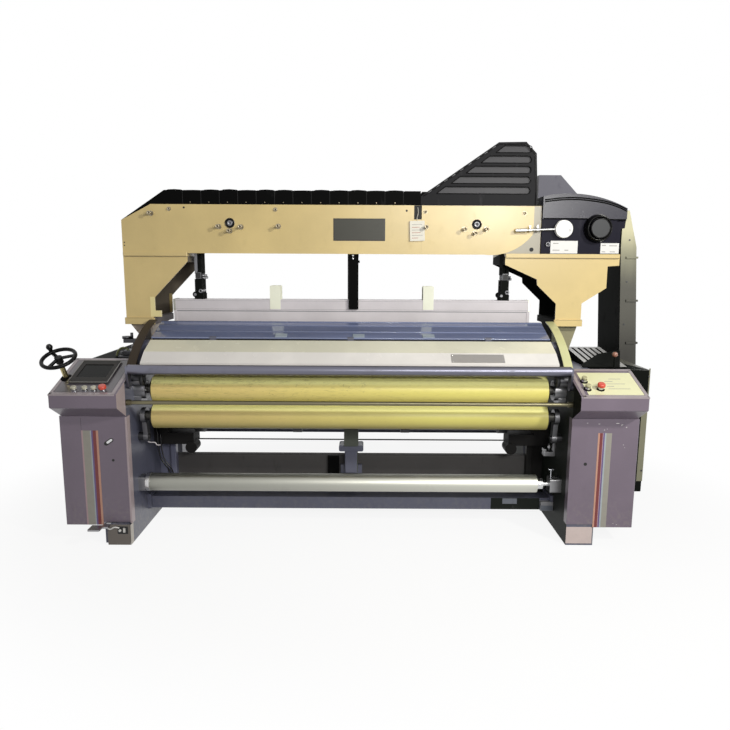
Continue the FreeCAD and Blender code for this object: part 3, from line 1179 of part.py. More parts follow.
def tall_guard():
    """The tall channel-shaped guard at the far right, leaning in at its top, with three lips."""
    y0, y1 = TALL_DEPTH
    line = [(TALL_X + x, z) for x, z in TALL_LINE]
    body = shell_prism(line, y0, y1, SHEET, front_prism)
    hollow = front_prism(line, y0 + SHEET / 2, y1 - SHEET / 2)
    lips = []
    for z in TALL_LIPS:
        share = (z - line[1][1]) / (line[2][1] - line[1][1])
        edge = line[1][0] + (line[2][0] - line[1][0]) * share
        lip = rounded(block(edge - 66, edge + LIP_OUT, y0 - LIP_OUT, y1, z, z + LIP_HIGH), 5.0, (0, 0, 1))
        lips.append(lip.cut(hollow))
    return joined([body] + lips)


# ================================================================ pedal and hoses
def pedal_stub():
    """The connector box on the left frame's plinth, with the pedal's pin."""
    x, z, wide = PEDAL
    near, far = PEDAL_STUB
    body = block(-far, -near, FRAME_FRONT - 30, FRAME_FRONT, z - 50, z + 6)
    socket = block(-far + 10, -near - 12, FRAME_FRONT - 31, FRAME_FRONT - 12, z - 40, z - 6)
    pin = cross_bar(6, x + wide / 2 + 3, 2 - far, PEDAL_PIVOT_Y + 14, z)
    return joined([body.cut(socket), pin])


def pedal():
    """The foot plate on its short arm."""
    x, z, wide = PEDAL
    pivot_y = PEDAL_PIVOT_Y + 14
    plate = block(x - wide / 2, x + wide / 2, 18, 84, z - 3, z + 5)
    plate = rounded(plate, 6.0, (0, 0, 1), lambda c: c.y < 50)
    arm = block(x + wide / 2 - 8, x + wide / 2 + 30, 60, pivot_y, z - 5, z + 5)
    eye = cross_bar(11, x + wide / 2 + 6, x + wide / 2 + 30, pivot_y, z)
    return joined([plate, arm, eye]).cut(cross_bar(6 + FIT, x, x + 130, pivot_y, z))


# ================================================================ the whole loom
def build():
    right_frame = side_frame()
    parts["side_frame_right"] = right_frame
    parts["side_frame_left"] = joined([mirrored(right_frame), pedal_stub()])
    parts["front_cross_beam"] = box_beam(*FRONT_BEAM)
    parts["rear_cross_beam"] = box_beam(*REAR_BEAM)
    parts["middle_beam"] = middle_beam()
    parts["centre_column"] = centre_column()
    parts["shaft_brackets"] = shaft_brackets()
    cover = front_cover()
    parts["front_cover_right"] = cover
    parts["front_cover_left"] = mirrored(cover)
    holes_right = [plunger_hole(x, up) for x, up in RIGHT_BUTTONS + (RIGHT_STOP,)]
    holes_left = [plunger_hole(-x, up) for x, up in LEFT_BUTTONS + (LEFT_STOP,)]
    holes_left.append(on_wheel(bar(WHEEL_SHAFT_R + GAP, (0, 0, -25), (0, 0, 30))))
    parts["control_box_right"] = control_box(BOX_DEEP[1]).cut(holes_right)
    parts["control_box_left"] = mirrored(control_box(BOX_DEEP[0])).cut(holes_left)
    parts["operator_screen"] = operator_screen()
    collars = [collar_ring(-x, up, COLLAR_HIGH) for x, up in LEFT_BUTTONS + (LEFT_STOP,)]
    collars += [collar_ring(x, up, COLLAR_HIGH_RIGHT) for x, up in RIGHT_BUTTONS + (RIGHT_STOP,)]
    parts["button_collars"] = group(collars)
    for index, (x, up) in enumerate(LEFT_BUTTONS):
        parts["left_button_%d" % (index + 1)] = button(-x, up, BUTTON_R, BUTTON_HIGH, COLLAR_HIGH, 4.0)
    parts["left_stop_button"] = button(-LEFT_STOP[0], LEFT_STOP[1], STOP_R, STOP_HIGH, COLLAR_HIGH, 7.0)
    for index, (x, up) in enumerate(RIGHT_BUTTONS):
        shape = button(x, up, BUTTON_R, BUTTON_HIGH, COLLAR_HIGH_RIGHT, 4.0)
        parts["right_button_%d" % (index + 1)] = shape
    parts["right_stop_button"] = button(*RIGHT_STOP, STOP_R, STOP_HIGH, COLLAR_HIGH_RIGHT, 7.0)
    parts["handwheel"] = handwheel()
    parts["handwheel_shaft"] = handwheel_shaft()
    parts["handwheel_knob"] = handwheel_knob()
    parts["sley"] = sley()
    parts["reed"] = reed()
    parts["roller_bearings"] = roller_bearings()
    parts["cloth_roller_latch"] = cloth_latch()
    parts["take_up_roller"] = covered_roller(TAKE_UP[2], TAKE_UP[0], TAKE_UP[1], FRAME_INNER - 5)
    parts["press_roller"] = covered_roller(PRESS_R, PRESS_Y, press_z(), ARM_FACE + ARM_THICK + 5)
    parts["press_arms"] = press_arms()
    parts["cloth_roller"] = cloth_roller()
    rest_y, rest_z, rest_r = BACK_REST
    rest = cross_bar(rest_r, -ROLLER_HALF - 30, ROLLER_HALF + 30, rest_y, rest_z)
    rest_shaft = cross_bar(JOURNAL_R, -FRAME_INNER - 30, FRAME_INNER + 30, rest_y, rest_z)
    parts["back_rest_roller"] = joined([rest, rest_shaft])
    parts["front_tube"] = front_tube()
    parts["guide_bar"] = guide_bar()
    parts["breast_cover"] = breast_cover()
    parts["breast_beam"] = breast_beam()
    parts["splash_shield"] = splash_shield()
    guard = side_guard()
    parts["side_guards"] = group([mirrored(guard), guard])
    parts["heald_frames_odd"] = group([heald_frame(0), heald_frame(2)])
    parts["heald_frames_even"] = group([heald_frame(1), heald_frame(3)])
    for name, side in (("left", -1), ("right", 1)):
        parts["lift_levers_%s_odd" % name] = group([lift_lever(side, 0), lift_lever(side, 2)])
        parts["lift_levers_%s_even" % name] = group([lift_lever(side, 1), lift_lever(side, 3)])
    left_line, right_line = post_line(POST_LEFT, -1), post_line(POST_RIGHT, 1)
    parts["post_left"] = post(left_line)
    link_slot = block(right_line[0][0] - 20, LINK_X + LINK_BAR[0] / 2 + 8, heald_y(0) - LINK_THICK / 2 - 9,
                      heald_y(HEALD_COUNT - 1) + LINK_THICK / 2 + 9, right_line[-1][1] - 30, POST_TOP + 1)
    parts["post_right"] = post(right_line).cut(link_slot)
    parts["post_feet"] = group([post_foot(left_line, FOOT_NECK_Z[0]), post_foot(right_line, FOOT_NECK_Z[1])])
    parts["arch_beam"] = arch_beam()
    parts["beam_face_left"] = beam_face_left()
    parts["beam_face_right"] = beam_face_right()
    parts["beam_top_cover"] = beam_top_cover()
    parts["louvre_cover"] = louvre_cover()
    parts["dobby_housing"] = dobby_housing()
    parts["level_lever"] = level_lever()
    parts["drive_casing"] = drive_casing()
    parts["ball_lever"] = ball_lever()
    parts["gear_casing"] = gear_casing()
    parts["tall_guard"] = tall_guard()
    parts["pedal"] = pedal()


def footprint_shift():
    """The move that puts the origin at the centre of the footprint, on the floor."""
    whole = Part.makeCompound(list(parts.values())).optimalBoundingBox(False)
    return Vector(-(whole.XMin + whole.XMax) / 2, -(whole.YMin + whole.YMax) / 2, -whole.ZMin)


def write():
    os.makedirs("parts", exist_ok=True)
    shift = footprint_shift()
    for name, shape in parts.items():
        placed = shape.copy()
        placed.translate(shift)
        placed.exportStep("parts/%s.step" % name)
    print("shift", round(shift.x, 3), round(shift.y, 3), round(shift.z, 3))


build()
write()
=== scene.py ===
"""Dresses the solids of a shuttleless power loom: paint, screws, stripes, plates, yarn gear and wear.

Sizes are in millimetres in the loom's own frame: x from the centre plane, y backwards from the front of the
control boxes, z up from the floor.  at() turns them into the scene's metres.
"""

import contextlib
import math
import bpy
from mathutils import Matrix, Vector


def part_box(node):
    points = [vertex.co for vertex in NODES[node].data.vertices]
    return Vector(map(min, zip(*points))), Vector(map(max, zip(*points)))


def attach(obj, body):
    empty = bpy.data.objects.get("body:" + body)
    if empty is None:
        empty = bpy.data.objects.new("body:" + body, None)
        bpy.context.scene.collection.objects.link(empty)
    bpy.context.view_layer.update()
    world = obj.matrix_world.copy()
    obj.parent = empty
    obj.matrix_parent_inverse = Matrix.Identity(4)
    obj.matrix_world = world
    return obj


bl_info = {
    "name": "Power loom",
    "version": (1, 0, 0),
    "blender": (4, 5, 0),
    "location": "View3D > Sidebar > Loom",
    "description": "Dresses the power loom with paint, trim, fasteners and wear, and sets its stage",
    "category": "Object",
}

import bmesh
import bpy
from mathutils import Matrix, Vector

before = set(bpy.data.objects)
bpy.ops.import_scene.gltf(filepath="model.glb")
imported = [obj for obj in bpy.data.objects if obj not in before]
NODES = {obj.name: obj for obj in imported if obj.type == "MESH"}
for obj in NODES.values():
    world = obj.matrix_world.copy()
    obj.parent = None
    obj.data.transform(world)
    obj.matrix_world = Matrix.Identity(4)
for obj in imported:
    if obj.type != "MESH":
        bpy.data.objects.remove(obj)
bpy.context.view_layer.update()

# ---------------------------------------------------------------- places read from the solids
INNER_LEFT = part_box("side_frame_left")[1].x
INNER_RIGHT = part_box("side_frame_right")[0].x
SHIFT = Vector(((INNER_LEFT + INNER_RIGHT) / 2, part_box("control_box_left")[0].y, 0))

FACE_Y = 590.0                      # front of the beam's face plates
DOBBY_Y = 586.0                     # front of the dobby housing
COVER_Y = 120.0                     # front of the lower covers
BEHIND_WALL = 601                   # y just behind the posts' front walls
BEAM_UNDER = 1525                   # height of the arch beam's underside
BOX_SLOPE = math.radians(20.9)      # lean of the control boxes' tops
BOX_LIP = 840.0                     # height of the tops' front edge
GLASS_LEVEL = 7.5                   # the screen is glass where it lies lower than this over the box's top
SHIELD_SLOPE = math.radians(20.8)   # lean of the splash shield
TAKE_UP = (300.0, 814.0)            # y and z of the take-up roller's axis
PRESS_Z = 670.0                     # z of the press roller's axis
HEALD_PITCH = 26.0                  # from one heald frame to the next
BACK = (0, 1, 0)                    # axis of what stands on a front face; its reach is then negative
PANEL_UP = (0, -math.sin(BOX_SLOPE), math.cos(BOX_SLOPE))


def at(x, y, z):
    """A point of the loom's frame, in the scene's metres."""
    return Vector((x / 1000, y / 1000, z / 1000)) + SHIFT


# ================================================================ sizes and colours that a user would change
def colour(name, text, value):
    return bpy.props.FloatVectorProperty(name=name, description=text, subtype="COLOR", size=3, min=0, max=1,
                                         default=value)


def length(name, text, value):
    return bpy.props.FloatProperty(name=name, description=text, default=value, min=0.0001, unit="LENGTH")


def power(name, text, value):
    return bpy.props.FloatProperty(name=name, description=text, default=value, min=0)


class LoomPaint(bpy.types.PropertyGroup):
    """Colours of the loom's paints, plastics and metals."""
    cream: colour("Cream paint", "Arch beam and posts", (0.68, 0.525, 0.232))
    purple_grey: colour("Purple-grey paint", "Front covers", (0.158, 0.124, 0.165))
    rim: colour("Rim paint", "Edges of the control boxes", (0.34, 0.29, 0.31))
    panel: colour("Left panel", "Sloping panel under the screen", (0.10, 0.088, 0.102))
    blue_grey: colour("Blue-grey paint", "Side frames and cross beams", (0.088, 0.092, 0.135))
    dark: colour("Dark paint", "Middle beam and brackets", (0.022, 0.021, 0.021))
    casing: colour("Casing paint", "Tall guard and casings", (0.125, 0.122, 0.100))
    guard: colour("Guard paint", "Curved side guards", (0.62, 0.62, 0.33))
    white: colour("White paint", "Breast cover", (0.82, 0.79, 0.765))
    yellow: colour("Roller covering", "Gritty covering of the rollers", (0.78, 0.66, 0.20))
    shield: colour("Shield", "Tinted splash shield", (0.142, 0.169, 0.288))
    louvre: colour("Louvre cover", "Moulded cover with the louvres", (0.013, 0.013, 0.015))
    black: colour("Black plastic", "Top hood and trims", (0.004, 0.004, 0.004))
    dobby: colour("Dobby plastic", "Dobby cover", (0.020, 0.019, 0.034))
    red: colour("Red", "Stop buttons", (0.66, 0.07, 0.035))
    pale: colour("Pale plastic", "Push buttons", (0.50, 0.48, 0.38))


class LoomTrim(bpy.types.PropertyGroup):
    """Sizes of the loom's small parts."""
    screw_radius: length("Screw radius", "Head of the beam's cap screws", 0.0115)
    screw_reach: length("Screw reach", "How far the beam's screws stand out", 0.045)
    rivet_radius: length("Rivet radius", "Rivets of the top hood", 0.0032)
    rivet_pitch: length("Rivet pitch", "Spacing of the top hood's rivets", 0.1053)
    stripe_low: length("Stripe foot", "Height where the stripes start", 0.104)
    stripe_high: length("Stripe top", "Height where the stripes end", 0.624)
    rim_width: length("Rim width", "Pale border of the control boxes", 0.017)
    bead: length("Bead", "Radius of the moulded beads round the louvres", 0.0024)


class LoomStage(bpy.types.PropertyGroup):
    """Camera and lights."""
    lens: bpy.props.FloatProperty(name="Lens", description="Focal length", default=31.3, min=1, unit="CAMERA")
    pitch: bpy.props.FloatProperty(name="Pitch", description="How far the camera looks down",
                                   default=math.radians(9.2), subtype="ANGLE", unit="ROTATION")
    roll: bpy.props.FloatProperty(name="Roll", description="Tilt of the camera", default=math.radians(0.3),
                                  subtype="ANGLE", unit="ROTATION")
    eye: bpy.props.FloatVectorProperty(name="Eye", description="Camera in the loom's frame", size=3,
                                       default=(0.08, -3.10, 1.50), subtype="TRANSLATION", unit="LENGTH")
    sky: power("Sky", "Strength of the soft light all round", 0.20)
    key: power("Key", "Power of the lamp at the front right", 86)
    front: power("Front", "Power of the long lamp over the eye", 64)
    spot: power("Spot", "Power of the small lamp beside the eye", 16)


def paint():
    return bpy.context.scene.loom_paint


def trim():
    return bpy.context.scene.loom_trim


# ================================================================ shader expressions
def math_pair(kind):
    """An operator that adds a Math node, and its reflected form."""
    return (lambda self, other: self.maths(kind, self, other),
            lambda self, other: self.maths(kind, other, self))


class Socket:
    """A shader socket that takes part in ordinary sums."""

    def __init__(self, tree, socket):
        self.tree = tree
        self.socket = socket

    def maths(self, kind, first, second):
        return self.tree.node("ShaderNodeMath", {"operation": kind}, {0: first, 1: second})

    __add__, __radd__ = math_pair("ADD")
    __sub__, __rsub__ = math_pair("SUBTRACT")
    __mul__, __rmul__ = math_pair("MULTIPLY")

    def greatest(self, other):
        return self.maths("MAXIMUM", self, other)

    def band(self, low, high):
        """0 under low, 1 over high, and smooth between."""
        return self.tree.node("ShaderNodeMapRange", {"interpolation_type": "SMOOTHSTEP"},
                              {"Value": self, "From Min": low, "From Max": high})


class Finish:
    """A material's node tree, written as expressions."""

    INPUTS = {"base": "Base Color", "rough": "Roughness", "metal": "Metallic", "coat": "Coat Weight",
              "coat_rough": "Coat Roughness", "alpha": "Alpha", "normal": "Normal",
              "specular": "Specular IOR Level"}

    def __init__(self, name, owner=None):
        self.material = owner or bpy.data.materials.new(name)
        self.material.use_nodes = True
        self.nodes = self.material.node_tree.nodes
        self.links = self.material.node_tree.links
        self.surface = self.nodes.get("Principled BSDF")
        self.place = self.node("ShaderNodeTexCoord", {}, {}, "Object")

    def node(self, kind, settings, values, output=0):
        made = self.nodes.new(kind)
        for key, value in settings.items():
            setattr(made, key, value)
        for key, value in values.items():
            self.feed(made.inputs[key], value)
        return Socket(self, made.outputs[output])

    def feed(self, entry, value):
        if isinstance(value, Socket):
            self.links.new(value.socket, entry)
        elif entry.type == "RGBA":
            entry.default_value = (*value[:3], 1.0)
        else:
            entry.default_value = value

    def noise(self, scale, detail=3.0, stretch=(1, 1, 1), roughness=0.55, turn=(0, 0, 0)):
        where = self.place
        if stretch != (1, 1, 1):
            where = self.node("ShaderNodeMapping", {}, {"Vector": where, "Rotation": turn, "Scale": stretch})
        return self.node("ShaderNodeTexNoise", {}, {"Vector": where, "Scale": scale, "Detail": detail,
                                                    "Roughness": roughness}, "Fac")

    def mix(self, amount, first, second):
        return self.node("ShaderNodeMix", {"data_type": "RGBA"}, {0: amount, 6: first, 7: second}, 2)

    def axis(self, index):
        return self.node("ShaderNodeSeparateXYZ", {}, {0: self.place}, index)

    def backdrop_rays(self):
        """1 for the rays that show the backdrop: camera, glossy and transmission rays."""
        camera, glossy, through = (self.node("ShaderNodeLightPath", {}, {}, name) for name in
                                   ("Is Camera Ray", "Is Glossy Ray", "Is Transmission Ray"))
        return camera.greatest(glossy).greatest(through)

    def bump(self, height, strength, distance=0.002):
        return self.node("ShaderNodeBump", {}, {"Height": height, "Strength": strength, "Distance": distance})

    def set(self, **values):
        for key, value in values.items():
            self.feed(self.surface.inputs[self.INPUTS[key]], value)
        return self.material


def shade(value, factor):
    """A colour made darker or lighter."""
    return tuple(min(1.0, max(0.0, part * factor)) for part in value)


def toward(value, other, amount):
    """A colour on the way to another."""
    return tuple(a + (b - a) * amount for a, b in zip(value, other))


def sprayed(name, value, rough=0.42, coat=0.25, dirt=0.25, grain=0.05, low_dirt=0.0, specular=0.5):
    """Sprayed paint: faint unevenness, orange peel, smudges, and dust near the floor."""
    finish = Finish(name)
    cloud = finish.noise(3.1, 4.0).band(0.35, 0.72)
    smudge = finish.noise(19.0, 6.0, (1, 1, 0.45)).band(0.57, 0.78)
    tone = finish.mix(cloud, shade(value, 0.93), shade(value, 1.06))
    tone = finish.mix(smudge * dirt, tone, shade(value, 0.62))
    if low_dirt:
        near_floor = 1 - finish.axis(2).band(0.02, 0.34)
        dust = finish.noise(42.0, 5.0).band(0.42, 0.70)
        tone = finish.mix(near_floor * dust * low_dirt, tone, toward(value, (0.30, 0.27, 0.22), 0.6))
    peel = finish.noise(420.0, 2.0)
    return finish.set(base=tone, rough=rough + 0.12 * smudge, coat=coat, coat_rough=0.22, specular=specular,
                      normal=finish.bump(peel, grain))


def moulded(name, value, rough=0.28, coat=0.4, grain=0.04, scuffs=0.2, specular=0.5):
    """Moulded plastic with light scuffs."""
    finish = Finish(name)
    scuff = finish.noise(26.0, 7.0, (1.0, 1.0, 0.3)).band(0.60, 0.80)
    tone = finish.mix(scuff * scuffs, value, toward(value, (0.35, 0.34, 0.36), 0.35))
    leather = finish.noise(260.0, 3.0)
    return finish.set(base=tone, rough=rough + 0.25 * scuff, coat=coat, coat_rough=0.18, specular=specular,
                      normal=finish.bump(leather, grain))


def metal(name, value, rough=0.32, lines=(1, 40, 40), oily=0.25, worn=(0.22, 0.19, 0.15), side_light=None):
    """Machined metal with fine lines and oily marks; side_light brightens it from the left to the right, as
    painted light from the lamp on the right.
    """
    finish = Finish(name)
    brushed = finish.noise(14.0, 4.0, lines)
    mark = finish.noise(9.0, 6.0).band(0.56, 0.75)
    tone = finish.mix(brushed, shade(value, 0.88), shade(value, 1.08))
    # painted light: darker on the left, brighter on the right
    if side_light:
        left, right = (shade(value, factor) for factor in side_light)
        tone = finish.mix(finish.axis(0).band(-1.15, 0.95), left, finish.mix(brushed * 0.3, right, tone))
    tone = finish.mix(mark * oily, tone, worn)
    return finish.set(base=tone, metal=1.0, rough=rough + 0.15 * mark, normal=finish.bump(brushed, 0.05))


def gritty(name, value, coarse, middle, lit, underside_shade):
    """The rollers' sandy covering: dark streaks along a slant, a painted highlight on top, painted shade
    below the axis, and a painted change of tone from orange-tan on the left to yellow on the right, for the
    light from the right.

    middle is the height of the roller's axis, lit the height over it where the painted highlight starts,
    underside_shade how dark the painted shade below makes it."""
    finish = Finish(name)
    height = finish.axis(2)
    grit = finish.noise(760.0, 2.0, (0.55, 1.0, 1.0), 0.7)
    slant = finish.noise(2.6, 5.0, (9.0, 2.2, 62.0), 0.62, (0, math.radians(34), 0))
    cloud = finish.noise(2.3, 4.0).band(0.30, 0.74)
    spot = finish.noise(58.0, 5.0).band(0.62, 0.76)
    # painted light: orange-tan on the left, yellower on the right, where the lamp on the right lights it
    side_light = finish.axis(0).band(-1.0, 0.55)
    side = finish.mix(side_light, toward(value, (0.84, 0.56, 0.28), 0.5), toward(value, (0.92, 0.90, 0.20), 0.5))
    tone = finish.mix(0.20 + 0.40 * cloud, side, shade(value, 1.08))
    # painted shade below the axis
    tone = finish.mix(height.band(middle - 0.070, middle - 0.005), shade(value, underside_shade), tone)
    # painted highlight: a bright band on top
    tone = finish.mix(height.band(middle + lit, middle + lit + 0.022), tone, (1.0, 0.97, 0.42))
    worn = 1 - finish.axis(0).band(-0.35, 0.45) * 0.70
    tone = finish.mix(slant.band(0.50, 0.72) * 0.50 * coarse * worn, tone, shade(value, 0.55))
    tone = finish.mix(spot * 0.50 * coarse * worn, tone, (0.17, 0.13, 0.06))
    tone = finish.mix(grit.band(0.45, 0.75) * 0.24, tone, shade(value, 0.58))
    relief = grit * 0.55 + slant * 0.75 * coarse
    return finish.set(base=tone, rough=0.40 + 0.22 * cloud, coat=0.25, coat_rough=0.30,
                      normal=finish.bump(relief, 0.20 + 0.25 * coarse, 0.0016))


def lit_top_paint(name):
    """The tall guard's paint: pale at the top as a painted highlight where the light falls, darker towards
    the bottom, with oily smears.
    """
    finish = Finish(name)
    height = finish.axis(2)
    smear = finish.noise(7.0, 6.0, (1, 1, 0.25)).band(0.45, 0.70)
    tone = finish.mix(height.band(0.88, 1.24), (0.040, 0.038, 0.034), (0.105, 0.102, 0.088))
    # painted highlight: paler towards the top, where the light falls
    tone = finish.mix(height.band(1.34, 1.56), tone, (0.28, 0.275, 0.20))
    tone = finish.mix(height.band(1.52, 1.72), tone, (0.66, 0.63, 0.42))
    tone = finish.mix(smear * 0.45, tone, (0.10, 0.097, 0.082))
    return finish.set(base=tone, rough=0.42 + 0.15 * smear, coat=0.1, specular=0.25)


def tinted(name, value):
    """The splash shield's tinted sheet, which lets a little through, with streaks."""
    finish = Finish(name)
    streak = finish.noise(4.0, 4.0, (0.35, 3.0, 3.0))
    tone = finish.mix(streak, shade(value, 0.8), shade(value, 1.9))
    made = finish.set(base=tone, rough=0.08, coat=0.8, coat_rough=0.05, alpha=0.92)
    made.blend_method = "BLEND"
    return made


def printed(name, value, rough=0.4, coat=0.0, wear=0.3):
    """Foil, paper or rubber: one colour with faint fading and handling marks."""
    finish = Finish(name)
    fade = finish.noise(31.0, 5.0).band(0.35, 0.75)
    mark = finish.noise(120.0, 4.0).band(0.60, 0.78)
    tone = finish.mix(fade * wear, value, shade(value, 0.80))
    tone = finish.mix(mark * wear, tone, toward(value, (0.30, 0.28, 0.26), 0.35))
    return finish.set(base=tone, rough=rough + 0.1 * mark, coat=coat)


FINISHES = {}


